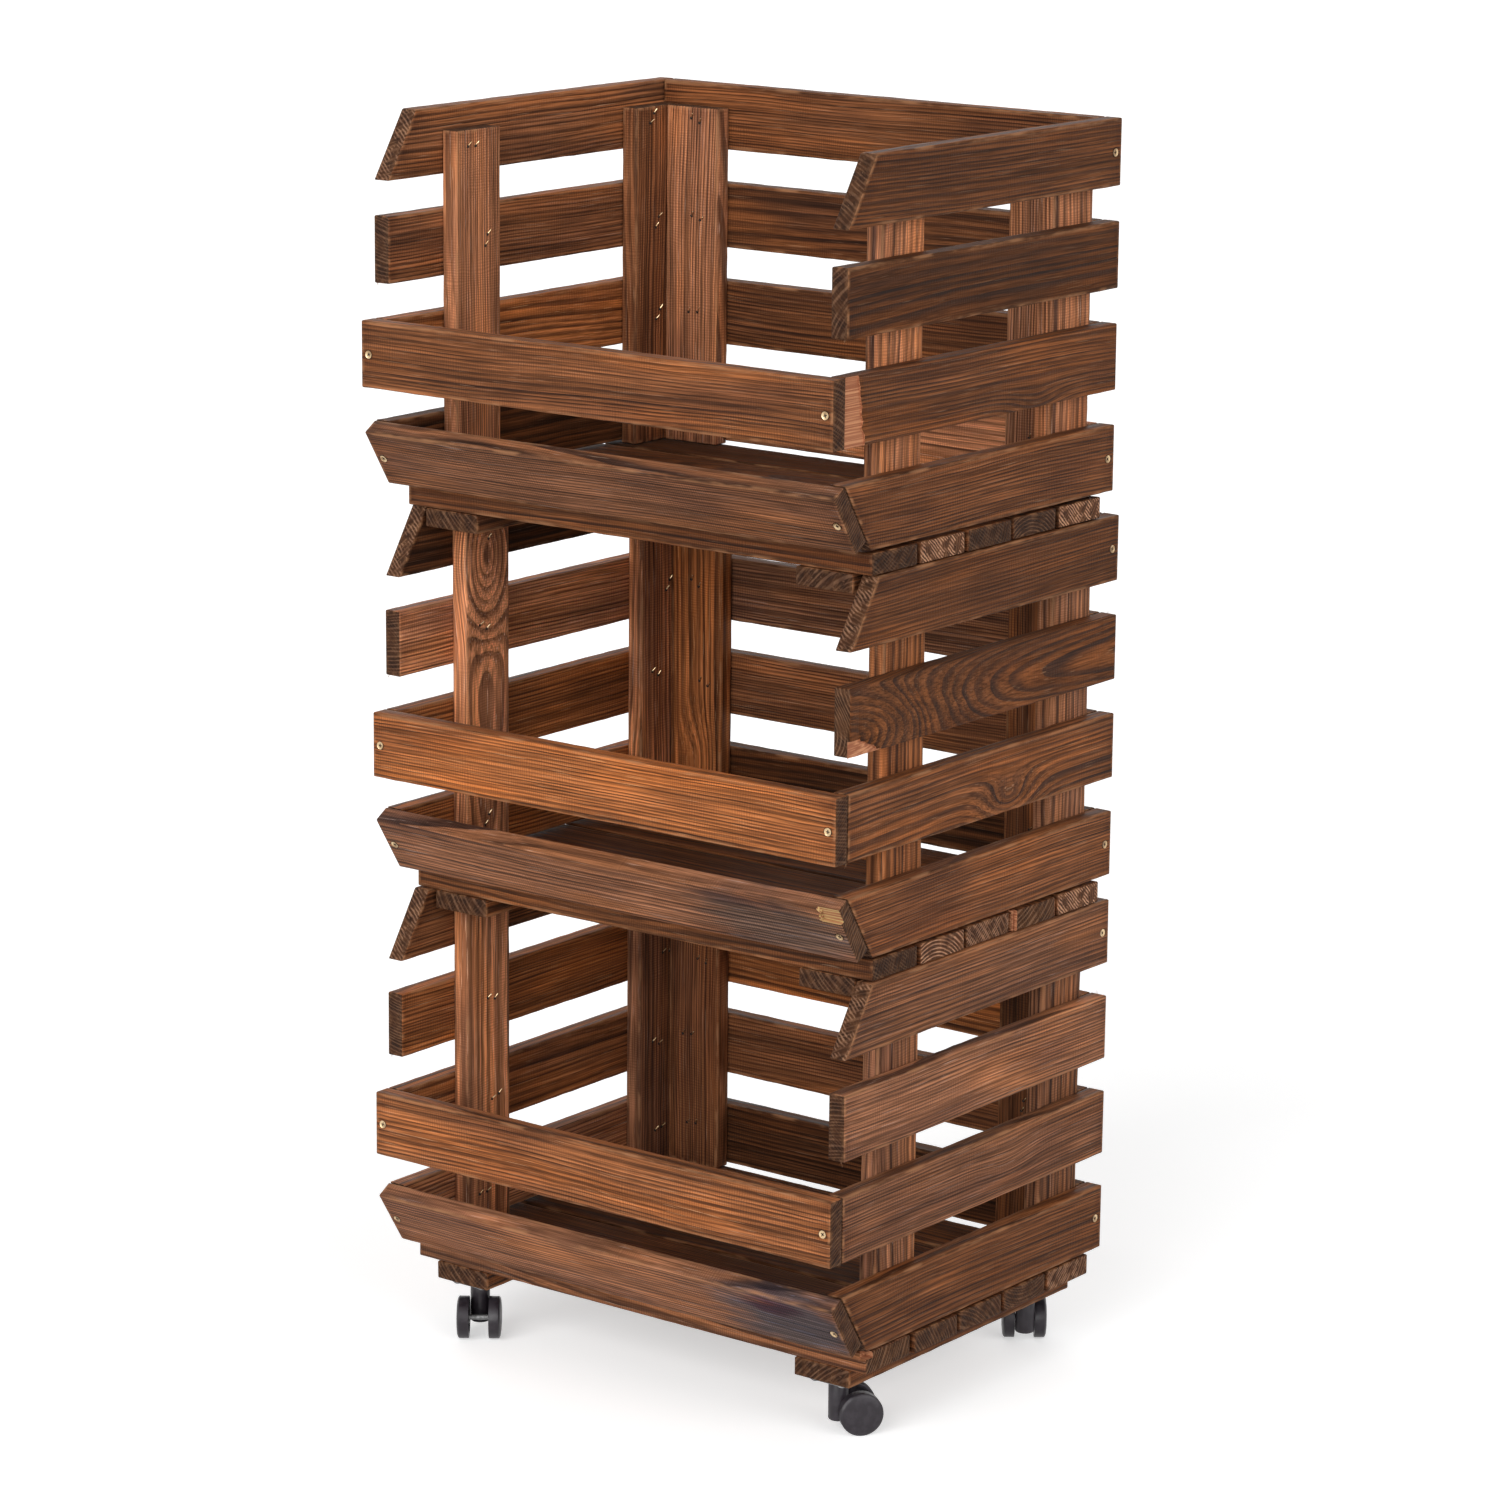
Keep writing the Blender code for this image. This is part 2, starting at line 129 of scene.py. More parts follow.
def sawn_board(name, length, width, thickness, slant=0, screws=()):
    """A board about the origin. A slant cuts its front end back by that length at the
    upper edge, or at the lower edge if it is negative. Screws sit in its upper face."""
    bpy.ops.mesh.primitive_cube_add(size=1, scale=(length, width, thickness))
    board = started(name)
    front = Vector((-width, slant, 0)).normalized()
    foot = Vector((-length / 2, -math.copysign(width / 2, slant), 0))
    if slant:
        bpy.ops.mesh.select_all(action="SELECT")
        bpy.ops.mesh.bisect(plane_co=foot, plane_no=front, use_fill=True, clear_outer=True)
    choose(board, "edges", lambda edge: abs((edge.verts[1].co - edge.verts[0].co).normalized().x) > 0.999)
    bpy.ops.mesh.subdivide(number_cuts=round(length / CUT_SPACING) - 1)
    ease_edges(EDGE_EASE, 2, 40)
    sides = [(X, length / 2), (front, front.dot(foot))]
    sides += [(side, size / 2) for side, size in ((Y, width), (-Y, width), (Z, thickness), (-Z, thickness))]
    for normal, _ in sides:
        choose(board, "faces", lambda face: face.normal.dot(normal) > 0.999)
        bpy.ops.mesh.inset(thickness=WEAR_REACH, use_even_offset=True)
    bpy.ops.object.mode_set(mode="OBJECT")
    for x, y in screws:
        bpy.ops.mesh.primitive_cone_add(
            vertices=24, radius1=SCREW_HOLE_RADIUS * SCREW_HOLE_BOTTOM_SHARE, radius2=SCREW_HOLE_RADIUS,
            depth=SCREW_HOLE_DEPTH, location=(x, y, thickness / 2 - SCREW_HOLE_DEPTH * 0.47))
        combine(board, bpy.context.object)
    mesh = board.data
    points = coordinates(mesh)
    gaps = np.array([offset - points @ np.array(normal) for normal, offset in sides])
    wear = np.clip(1 - (np.sort(gaps, axis=0)[1] - EDGE_EASE) / WEAR_REACH, 0, 1)
    ends = np.clip(1 - gaps[:2].min(axis=0) / END_REACH, 0, 1)
    keep(mesh, "surface", np.stack([wear, ends, 0 * wear], axis=1))
    cut = [max(face.normal.dot(X), face.normal.dot(front)) > 0.75 for face in mesh.polygons]
    keep(mesh, "end_grain", cut, "FACE")
    keep(mesh, "bare", np.zeros(len(mesh.polygons)), "FACE")
    pick(board)
    bpy.ops.object.shade_smooth_by_angle(angle=math.radians(50))
    return board


def added(name, data):
    """A new object for a mesh, a light or a camera, at the origin."""
    data.name = name
    piece = bpy.data.objects.new(name, data)
    bpy.context.scene.collection.objects.link(piece)
    return piece


def torn(stock, x, y, length, width, depth, slope=0):
    """A stock board that has lost a sliver of its upper face: the place and size of the
    tear, and how much longer it is at its upper side."""
    board = added("torn_stock", stock.data.copy())
    top = max(vert.co.z for vert in board.data.vertices)
    middle = (x, y, top - depth)
    bpy.ops.mesh.primitive_grid_add(x_subdivisions=1, y_subdivisions=TEAR_ROWS, size=1, location=middle)
    tool = started("tear")
    bpy.ops.transform.resize(value=(length, width, 1), center_override=middle)
    for row in range(TEAR_ROWS + 1):
        height = y + width * (row / TEAR_ROWS - 0.5)
        choose(tool, "verts", lambda vert: (vert.co.x - x) * -x > 0
               and abs(vert.co.y - height) < width / TEAR_ROWS / 4)
        reach = chance.uniform(-TEAR_RAGGED, TEAR_RAGGED) + slope * row / TEAR_ROWS
        bpy.ops.transform.translate(value=(math.copysign(reach, -x * reach), 0, 0))
    bpy.ops.mesh.select_all(action="SELECT")
    bpy.ops.mesh.extrude_region_move(TRANSFORM_OT_translate={"value": (0, 0, depth * 1.5)})
    bpy.ops.mesh.select_all(action="SELECT")
    bpy.ops.mesh.normals_make_consistent(inside=False)
    bpy.ops.object.mode_set(mode="OBJECT")
    combine(board, tool)
    sizes = np.abs(coordinates(stock.data)).max(axis=0) - 2 * NEAR
    for number, face in enumerate(board.data.polygons):
        inside = all(abs(face.center[axis]) < sizes[axis] for axis in range(3))
        flat = face.normal.z > 0.98 and abs(face.center.z - top + depth) < NEAR
        wall = abs(face.normal.z) < 0.05 and face.center.z > top - depth
        board.data.attributes["bare"].data[number].value = float(inside and (flat or wall))
    return board


# The stain. One brown dip colours all boards: the soft wood between the rings takes a warm
# red-brown, the hard rings stay dark, the cut ends drink most, and the eased edges are rubbed
# lighter. Each board carries its own place in the tree, so rings run on round its corners.
SOFT_WOOD = (0.253, 0.0945, 0.038, 1)
HARD_RING = (0.030, 0.012, 0.007, 1)
DUSKY_TINT = (0.58, 0.57, 0.66, 1)
AMBER_TINT = (1.36, 1.22, 0.98, 1)
END_WOOD = (0.088, 0.036, 0.015, 1)
END_RING = (0.020, 0.008, 0.004, 1)
# The light colour of the cut ends: the paler ring lines, plus painted highlight on the torn fibres and fine
# specks.
END_PALE_AND_GLINT = (0.380, 0.205, 0.120, 1)
# The colour of thin bright streaks along the fibres, a painted highlight of the stain's sheen.
PAINTED_GLINT = (0.560, 0.330, 0.210, 1)
RUBBED = (0.400, 0.190, 0.090, 1)
BARE_WOOD = (0.620, 0.285, 0.145, 1)
BARE_STREAK = (0.330, 0.120, 0.060, 1)
SAW_TINT = (0.50, 0.47, 0.47, 1)
SOAKED_TINT = (0.55, 0.50, 0.52, 1)
SAW_SPACING = 0.0023
HATCH_SPACING = 0.0027


def add_node(tree, kind, values, **settings):
    """A shader node with its settings, and a number, colour or link for each input."""
    node = tree.nodes.new("ShaderNode" + kind)
    for key, value in settings.items():
        setattr(node, key, value)
    for key, value in values.items():
        if isinstance(value, bpy.types.NodeSocket):
            tree.links.new(value, node.inputs[key])
        else:
            node.inputs[key].default_value = value
    return node


def calc(tree, operation, *values):
    """One step of arithmetic on numbers."""
    return add_node(tree, "Math", dict(enumerate(values)), operation=operation).outputs[0]


def times(tree, value, share):
    """One number multiplied by another."""
    return calc(tree, "MULTIPLY", value, share)


def vector(tree, operation, *values):
    """One step of arithmetic on vectors."""
    node = add_node(tree, "VectorMath", dict(enumerate(values)), operation=operation)
    return node.outputs["Value" if operation in ("LENGTH", "DOT_PRODUCT") else "Vector"]


def parts(tree, value):
    """The three numbers of a vector."""
    return add_node(tree, "SeparateXYZ", {0: value}).outputs


def blend(tree, share, low, high, how="MIX"):
    """A colour between two, by a share."""
    node = add_node(tree, "Mix", {0: share, 6: low, 7: high}, data_type="RGBA", blend_type=how)
    return node.outputs[2]


def noise(tree, place, scale, detail=2.0, roughness=0.5):
    """A cloudy pattern, with its scale along each axis."""
    values = {"Vector": vector(tree, "MULTIPLY", place, scale), "Scale": 1.0}
    values.update({"Detail": detail, "Roughness": roughness})
    return add_node(tree, "TexNoise", values).outputs["Fac"]


def fade(tree, value, start, end, low=0.0, high=1.0):
    """A soft step from low to high, as a value goes from start to end."""
    values = dict(enumerate((value, start, end, low, high)))
    return add_node(tree, "MapRange", values, interpolation_type="SMOOTHSTEP").outputs[0]


def ramp(tree, value, stops):
    """A grey ramp through its stops, each a place and a shade."""
    node = add_node(tree, "ValToRGB", {0: value})
    band = node.color_ramp.elements
    for spare in stops[2:]:
        band.new(spare[0])
    for element, (place, shade) in zip(band, stops):
        element.position = place
        element.color = (shade, shade, shade, 1)
    return node.outputs[0]


def carried(tree, name, output="Vector"):
    """What keep left on the mesh under a name."""
    return add_node(tree, "Attribute", {}, attribute_name=name).outputs[output]


def waves(tree, along, spacing, drift, reach):
    """Saw marks across a coordinate, from 0 to 1, with their spacing and their drift."""
    phase = calc(tree, "MULTIPLY_ADD", along, math.tau / spacing, times(tree, drift, reach))
    return calc(tree, "MULTIPLY_ADD", calc(tree, "SINE", phase), 0.5, 0.5)


def new_material(name):
    """A material, its node tree and the inputs of its shader."""
    material = bpy.data.materials.new(name)
    material.use_nodes = True
    return material, material.node_tree, material.node_tree.nodes["Principled BSDF"].inputs


def stained_pine(name, marks=(), split=BARE_WOOD):
    """The stained board. Marks are spots on it: (x, y, half length, half width, tint)."""
    material, tree, inputs = new_material(name)
    place, grain, knot, tone = (carried(tree, word) for word in ("place", "grain", "knot", "tone"))
    surface = parts(tree, carried(tree, "surface"))
    end = carried(tree, "end_grain", "Fac")
    along, _, tangent = parts(tree, grain)

    # Rings about the pith, wandering along the stem and swirling round a knot. The fibres
    # follow them, so all streaks are laid along the same curves.
    wander = noise(tree, grain, (2.6, 8, 8), 1.0)
    shake = noise(tree, grain, (13, 60, 60), 1.0)
    radius = vector(tree, "LENGTH", vector(tree, "MULTIPLY", grain, (0, 1, 1)))
    radius = calc(tree, "MULTIPLY_ADD", wander, 0.016, radius)
    radius = calc(tree, "MULTIPLY_ADD", shake, 0.0016, radius)
    flat_knot = vector(tree, "MULTIPLY", knot, (1, 1, 0))
    near = times(tree, vector(tree, "DOT_PRODUCT", flat_knot, flat_knot), -1.0)
    height = parts(tree, knot)[2]
    radius = calc(tree, "MULTIPLY_ADD", calc(tree, "EXPONENT", near), height, radius)
    fibres = add_node(tree, "CombineXYZ", {0: along, 1: radius, 2: tangent}).outputs[0]
    seasons = noise(tree, fibres, (0, 60, 0), 1.0)
    phase = calc(tree, "DIVIDE", radius, carried(tree, "ring_width", "Fac"))
    phase = calc(tree, "MULTIPLY_ADD", seasons, 2.6, phase)
    year = add_node(tree, "TexWhiteNoise", {"W": calc(tree, "FLOOR", phase)}, noise_dimensions="1D")
    season_stops = ((0, 0.5), (0.08, 0.0), (0.42, 0.05), (0.74, 0.9), (1.0, 1.0))
    ring = ramp(tree, calc(tree, "FRACT", phase), season_stops)
    ring = times(tree, ring, calc(tree, "MULTIPLY_ADD", year.outputs["Value"], 0.36, 0.64))
    worn = fade(tree, noise(tree, fibres, (5, 40, 40), 2.0), 0.3, 0.6, 0.7, 1.0)
    ring = times(tree, ring, worn)

    fibre = noise(tree, fibres, (14, 950, 650), 3.0, 0.65)
    streak = noise(tree, fibres, (1.6, 150, 70), 2.0)
    color = blend(tree, ring, SOFT_WOOD, HARD_RING)
    color = blend(tree, 1.0, color, fade(tree, fibre, 0.33, 0.67, 0.52, 1.54), "MULTIPLY")
    color = blend(tree, 1.0, color, fade(tree, streak, 0.30, 0.70, 0.74, 1.28), "MULTIPLY")
    # Thin bright streaks along the fibres: painted highlight, where the stain's sheen catches the light.
    painted_glint = fade(tree, noise(tree, fibres, (20, 1400, 900), 2.0), 0.64, 0.72)
    color = blend(tree, times(tree, painted_glint, 0.45), color, PAINTED_GLINT)
    dusk = fade(tree, noise(tree, fibres, (5, 22, 22)), 0.48, 0.68, 0.0, 0.6)
    color = blend(tree, dusk, color, DUSKY_TINT, "MULTIPLY")
    amber = fade(tree, noise(tree, fibres, (5, 30, 20), 2.0), 0.48, 0.66, 0.0, 0.7)
    color = blend(tree, amber, color, AMBER_TINT, "MULTIPLY")
    sawn = waves(tree, along, SAW_SPACING, noise(tree, place, (60, 26, 26)), 22.0)
    patchy = noise(tree, grain, (11, 24, 24))
    sawn = times(tree, sawn, fade(tree, patchy, 0.36, 0.54))
    sawn = times(tree, sawn, fade(tree, fibre, 0.35, 0.62, 0.3, 1.0))
    color = blend(tree, times(tree, sawn, 0.62), color, SAW_TINT, "MULTIPLY")
    for x, y, half_length, half_width, tint in marks:
        spot = vector(tree, "SUBTRACT", place, (x, y, 0))
        spot = vector(tree, "LENGTH", vector(tree, "MULTIPLY", spot, (1 / half_length, 1 / half_width, 0)))
        spot = calc(tree, "MULTIPLY_ADD", noise(tree, fibres, (22, 120, 90), 2.0), 1.1, spot)
        color = blend(tree, fade(tree, spot, 0.95, 1.7, 1.0, 0.0), color, tint, "MULTIPLY")
    color = blend(tree, 1.0, color, tone, "MULTIPLY")

    # The cut ends, with the rings and the marks of the saw; the torn fibres and fine specks that catch the
    # light are partly painted highlight
    saw = parts(tree, carried(tree, "end_saw"))
    side = parts(tree, place)
    across = calc(tree, "MULTIPLY_ADD", side[1], saw[0], times(tree, side[2], saw[1]))
    hatch = waves(tree, across, HATCH_SPACING, noise(tree, place, (90, 90, 90)), 9.0)
    look = parts(tree, carried(tree, "end_look"))
    end_color = blend(tree, times(tree, ring, look[0]), END_WOOD, END_RING)
    soot = fade(tree, noise(tree, place, (110, 110, 110), 2.0), 0.42, 0.66, 0.0, 0.7)
    end_color = blend(tree, soot, end_color, END_RING)
    growth = fade(tree, calc(tree, "SINE", times(tree, phase, math.tau)), 0.1, 0.9)
    clear = fade(tree, noise(tree, place, (80, 80, 80), 2.0), 0.30, 0.55, 0.3, 1.0)
    growth = times(tree, growth, clear)
    end_color = blend(tree, times(tree, growth, look[0]), end_color, END_PALE_AND_GLINT)
    rough = times(tree, fade(tree, noise(tree, place, (120, 120, 120), 2.0), 0.40, 0.56), saw[2])
    hatching = times(tree, fade(tree, hatch, 0.4, 0.85), rough)
    end_color = blend(tree, hatching, end_color, END_PALE_AND_GLINT)
    # Fine bright specks on the cut ends: painted highlight.
    glint_speck = fade(tree, noise(tree, place, (520, 520, 520), 2.0), 0.66, 0.72)
    end_color = blend(tree, times(tree, glint_speck, 0.4), end_color, END_PALE_AND_GLINT)
    end_color = blend(tree, 1.0, end_color, look[1], "MULTIPLY")
    color = blend(tree, end, color, end_color)

    soaked = fade(tree, noise(tree, place, (70, 120, 120)), 0.35, 0.6, 0.2, 0.8)
    soaked = times(tree, surface[1], soaked)
    color = blend(tree, soaked, color, SOAKED_TINT, "MULTIPLY")
    rubbed = fade(tree, noise(tree, place, (34, 150, 150)), 0.42, 0.66, 0.04, 0.6)
    rubbed = times(tree, rubbed, calc(tree, "MULTIPLY_ADD", end, -0.7, 1.0))
    color = blend(tree, times(tree, surface[0], rubbed), color, RUBBED)
    bare = blend(tree, fade(tree, noise(tree, fibres, (9, 700, 500), 3.0), 0.36, 0.62), split, BARE_STREAK)
    color = blend(tree, carried(tree, "bare", "Fac"), color, bare)

    relief = calc(tree, "MULTIPLY_ADD", ring, 0.6, times(tree, fibre, 0.5))
    relief = calc(tree, "MULTIPLY_ADD", sawn, 0.35, relief)
    relief = calc(tree, "MULTIPLY_ADD", times(tree, hatch, end), 0.6, relief)
    bump = add_node(tree, "Bump", {"Height": relief, "Strength": 0.9, "Distance": 0.0005})
    tree.links.new(color, inputs["Base Color"])
    tree.links.new(fade(tree, ring, 0.0, 1.0, 0.72, 0.56), inputs["Roughness"])
    tree.links.new(bump.outputs[0], inputs["Normal"])
    inputs["Specular IOR Level"].default_value = 0.10
    return material


# How each board was cut from its tree: the turn of the rings to its face in degrees, the
# distance of the pith, the width of a ring and the taper of the stem. The stain then comes
# out by lightness and by warmth, from a greyish brown below zero to a deep orange above it.
TIMBERS = {
    "fine": (12, 0.150, 0.0031, 0.004),
    "straight": (24, 0.120, 0.0038, 0.008),
    "wide": (46, 0.090, 0.0052, 0.012),
    "flat": (86, 0.052, 0.0034, 0.040),
}
STAINS = {
    # The darkest tone is for boards that lie in shade inside the crates: painted shade on top of a dark
    # stain.
    "sooty": (0.36, 0.4),
    "dark": (0.54, 0.3),
    "umber": (0.68, 0.3),
    "brown": (0.85, 0.2),
    "plum": (0.90, -1.3),
    "tan": (1.0, -0.1),
    "russet": (1.06, 0.8),
    "dusty": (1.25, -1.4),
    "amber": (1.32, 0.4),
    "orange": (1.55, 1.0),
    "pale": (2.0, -0.8),
    "bleached": (2.5, -0.8),
}

# A cut end: the angle of its saw marks, how rough they are, how clear the rings, how light
END_LOOKS = {
    "plain": (0.70, 0.10, 0.35, 0.85),
    "dull": (0.95, 0.30, 0.20, 0.62),
    "hatched": (0.55, 0.70, 0.25, 0.95),
    "crossed": (2.30, 0.70, 0.45, 1.25),
    "ringed": (1.45, 0.10, 0.75, 1.90),
    "shaded": (1.45, 0.10, 0.50, 0.70),
    "bright": (0.80, 1.20, 0.20, 1.60),
}

# A knot: its place on the board, the height of its swirl, its half length and half width
NO_KNOT = (0, 0, 0, 1, 1)

brushed = bpy.data.textures.new("brushed_wood", "CLOUDS")
brushed.noise_scale = 0.011
brushed.noise_depth = 2
BRUSHED_DEPTH = 0.0008
pine = stained_pine("stained_pine")


CRATES = ("bottom", "middle", "top")
SIDES = ((-1, "left"), (1, "right"))
FLOOR_SETBACK = 0.0397


def corner_of(crate):
    """The middle of a crate's width at the front of its sides, at its floor's underside."""
    low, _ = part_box(f"{crate}_floor_board_1")
    return Vector((0, low.y - FLOOR_SETBACK, low.z))


def lay_board(stock, crate, label, part, center, along, across, look, knot=NO_KNOT, material=pine):
    """A board of a crate: its look, its place from the crate's corner, its body, its solid."""
    timber, stain, end = (look + " plain").split()[:3]
    turn, pith, ring, taper = TIMBERS[timber]
    lightness, warmth = STAINS[stain]
    turn = math.radians(turn * chance.uniform(0.8, 1.2)) * chance.choice((-1, 1))
    mesh = stock.data.copy()
    mesh.materials.clear()
    mesh.materials.append(material)
    x, y, z = coordinates(mesh).T
    taper *= chance.choice((-1, 1))
    grain = [
        x + chance.uniform(0, 40),
        y * math.cos(turn) - z * math.sin(turn) + pith * chance.uniform(0.85, 1.15) + x * taper,
        y * math.sin(turn) + z * math.cos(turn) + chance.uniform(-0.006, 0.006),
    ]
    keep(mesh, "place", np.stack([x, y, z], axis=1))
    keep(mesh, "grain", np.stack(grain, axis=1))
    swirl = [(x - knot[0]) / knot[3], (y - knot[1]) / knot[4], np.full(len(x), knot[2])]
    keep(mesh, "knot", np.stack(swirl, axis=1))
    lightness *= chance.uniform(0.95, 1.05)
    tone = (lightness, lightness * (1 - 0.10 * warmth), lightness * (1 - 0.30 * warmth))
    keep(mesh, "tone", np.tile(tone, (len(x), 1)))
    keep(mesh, "ring_width", np.full(len(x), ring * chance.uniform(0.9, 1.1)))
    saw, rough, rings, light = END_LOOKS[end]
    keep(mesh, "end_saw", np.tile((math.cos(saw), math.sin(saw), rough), (len(x), 1)))
    keep(mesh, "end_look", np.tile((rings, light, 0), (len(x), 1)))
    turned = Matrix((along, across, along.cross(across))).transposed().to_4x4()
    mesh.transform(Matrix.Translation(corner_of(crate) + Vector(center)) @ turned)
    piece = added(f"{crate}_{label}", mesh)
    step = piece.modifiers.new("brushed", "DISPLACE")
    step.texture = brushed
    step.strength = BRUSHED_DEPTH
    step.mid_level = 1.0
    pick(piece)
    bpy.ops.object.modifier_apply(modifier=step.name)
    body, node = f"crate_{crate}", f"{crate}_{part}"
    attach(piece, body)
    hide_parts(node)


# The battens: two boards under each floor, from front to back, screwed up into it. They hang
# between the sides of the crate below, and under the bottom crate they carry the castors.
BATTEN_X = 0.19975
BATTEN_FRONT = 0.0407
BATTEN_REAR = 0.3740
BATTEN_Y = (BATTEN_FRONT + BATTEN_REAR) / 2
BATTEN_Z = -0.0088

batten = sawn_board("batten_stock", BATTEN_REAR - BATTEN_FRONT, BOARD_WIDTH, BOARD_THICKNESS)
for crate in CRATES:
    for side, word in SIDES:
        center = (side * BATTEN_X, BATTEN_Y, BATTEN_Z)
        lay_board(batten, crate, f"batten_{word}", f"floor_batten_{word}", center, Y, -X, "wide brown")


# The floor: five boards from side to side, a little thicker than the walls, nailed to the
# battens and the posts. Their sawn ends show under the sides, no two of them alike.
FLOOR_LENGTH = 0.497
FLOOR_WIDTH = 0.064
FLOOR_THICKNESS = 0.019
FLOOR_PITCH = 0.068
FLOOR_LOOKS = {
    "bottom": ("straight plum", "straight umber", "wide dark", "flat umber", "wide umber crossed"),
    "middle": ("straight umber dull", "flat brown ringed", "wide umber crossed", "wide umber",
               "fine brown bright"),
    "top": ("wide umber dull", "fine umber bright", "straight brown dull", "flat umber shaded",
            "wide sooty bright"),
}

floor_stock = sawn_board("floor_stock", FLOOR_LENGTH, FLOOR_WIDTH, FLOOR_THICKNESS)
torn_floors = {
    "middle_floor_4": torn(floor_stock, x=FLOOR_LENGTH / 2, y=-0.0305, length=0.008, width=0.007,
                           depth=0.0200),
    "bottom_floor_1": torn(floor_stock, x=FLOOR_LENGTH / 2 - 0.003, y=-0.028, length=0.010, width=0.010,
                           depth=0.005),
}
for crate in CRATES:
    for index, look in enumerate(FLOOR_LOOKS[crate]):
        y = FLOOR_SETBACK + FLOOR_WIDTH / 2 + index * FLOOR_PITCH
        center = (chance.uniform(-0.001, 0.001), y, FLOOR_THICKNESS / 2)
        stock = torn_floors.get(f"{crate}_floor_{index + 1}", floor_stock)
        lay_board(stock, crate, f"floor_{index + 1}", f"floor_board_{index + 1}", center, X, Y, look)


# The slats of the sides: four boards each, stapled to the posts. The top one's front end is
# sawn to lean back and the bottom one's to lean forward, and a screw through the rear end of
# both holds the back. One stock serves both sides, because a left slat is a right one turned.
SIDE_X = 0.2415
SIDE_LENGTH = 0.3925
SLANT = 0.037
SLAT_BASE = 0.0215
SLAT_PITCH = 0.0878
REAR_SCREW_INSET = 0.010
SIDE_LOOKS = {
    "bottom": ("straight pale", "wide amber", "fine orange", "straight brown hatched",
               "straight umber", "fine plum", "fine dusty", "straight plum hatched"),
    "middle": ("fine orange", "fine orange", "fine bleached", "wide sooty hatched",
               "fine brown", "wide brown", "flat dark", "fine dark hatched"),
    "top": ("wide sooty", "wide orange", "fine tan", "straight tan hatched",
            "fine umber", "straight umber", "wide sooty", "straight dark"),
}
SIDE_KNOTS = {
    "middle_right_slat_3": (-0.195, -0.012, 0.040, 0.120, 0.036),
    "middle_right_slat_2": (0.035, -0.018, 0.020, 0.040, 0.020),
    "top_right_slat_2": (0.075, -0.030, 0.010, 0.045, 0.020),
    "bottom_right_slat_2": (0.050, 0.000, 0.004, 0.040, 0.017),
}


def slat_height(level):
    """The middle of the slats at a level, counted from 0, over the floor's underside."""
    return SLAT_BASE + BOARD_WIDTH / 2 + level * SLAT_PITCH


slat_size = (SIDE_LENGTH, BOARD_WIDTH, BOARD_THICKNESS)
rear_screw = (SIDE_LENGTH / 2 - REAR_SCREW_INSET, 0)
plain_slat = sawn_board("plain_slat_stock", *slat_size)
back_slant = sawn_board("back_slant_stock", *slat_size, slant=SLANT, screws=[rear_screw])
front_slant = sawn_board("front_slant_stock", *slat_size, slant=-SLANT, screws=[rear_screw])
torn_slats = {
    "top_right_slat_2": torn(plain_slat, x=-SIDE_LENGTH / 2 + 0.009, y=0, length=0.032,
                             width=BOARD_WIDTH + 0.004, depth=0.0016, slope=-0.008),
    "middle_right_slat_3": torn(plain_slat, x=-SIDE_LENGTH / 2 + 0.024, y=-0.024, length=0.058,
                                width=0.018, depth=0.0022, slope=-0.040),
}
for crate in CRATES:
    for side, word in SIDES:
        for level in range(4):
            stock = plain_slat
            if level in (0, 3):
                stock = back_slant if (level == 3) == (side == 1) else front_slant
            center = (side * SIDE_X, SIDE_LENGTH / 2, slat_height(level))
            label = f"{word}_slat_{level + 1}"
            name = f"{crate}_{label}"
            look = SIDE_LOOKS[crate][level + (4 if side == 1 else 0)]
            lay_board(torn_slats.get(name, stock), crate, label, f"{word}_side_panel", center,
                      Y, side * Z, look, SIDE_KNOTS.get(name, NO_KNOT))


# The slats of the back: four sawn boards between the sides, level with the side slats. They
# are stapled to the two back posts, and the sides' rear screws go into the ends of two.
BACK_LENGTH = 0.4654
BACK_Y = 0.384
BACK_LOOKS = {
    "bottom": ("straight sooty", "fine brown", "wide orange", "straight orange"),
    "middle": ("wide sooty", "fine tan", "fine plum", "fine russet"),
    "top": ("wide bleached", "straight umber", "wide dark", "fine umber"),
}

back_slat = sawn_board("back_slat_stock", BACK_LENGTH, BOARD_WIDTH, BOARD_THICKNESS)
for crate in CRATES:
    for level, look in enumerate(BACK_LOOKS[crate]):
        center = (0, BACK_Y, slat_height(level))
        lay_board(back_slat, crate, f"back_slat_{level + 1}", "back_panel", center, X, Z, look)


# The posts: six upright boards inside each crate, two on each side and two at the back. They
# stand on the floor and end below the top, where the battens of the next crate come down.
POST_LOW = 0.0193
POST_HIGH = 0.3234
POST_MIDDLE = (POST_LOW + POST_HIGH) / 2
POST_X = 0.2248
SIDE_POST_YS = (0.09925, 0.34595)
BACK_POST_X = 0.18675
BACK_POST_Y = 0.3673
POST_LOOKS = {
    "bottom": ("wide bleached", "straight dusty", "wide dusty", "wide plum", "fine tan", "fine dark"),
    "middle": ("flat bleached", "straight pale", "wide amber", "wide dusty", "wide orange", "fine brown"),
    "top": ("fine pale", "straight tan", "wide pale", "wide pale", "fine pale", "fine dusty"),
}
POST_KNOTS = {
    "middle_left_front_post": (0.125, 0.000, 0.036, 0.070, 0.030),
    "middle_back_left_post": (-0.110, 0.000, 0.012, 0.040, 0.017),
}

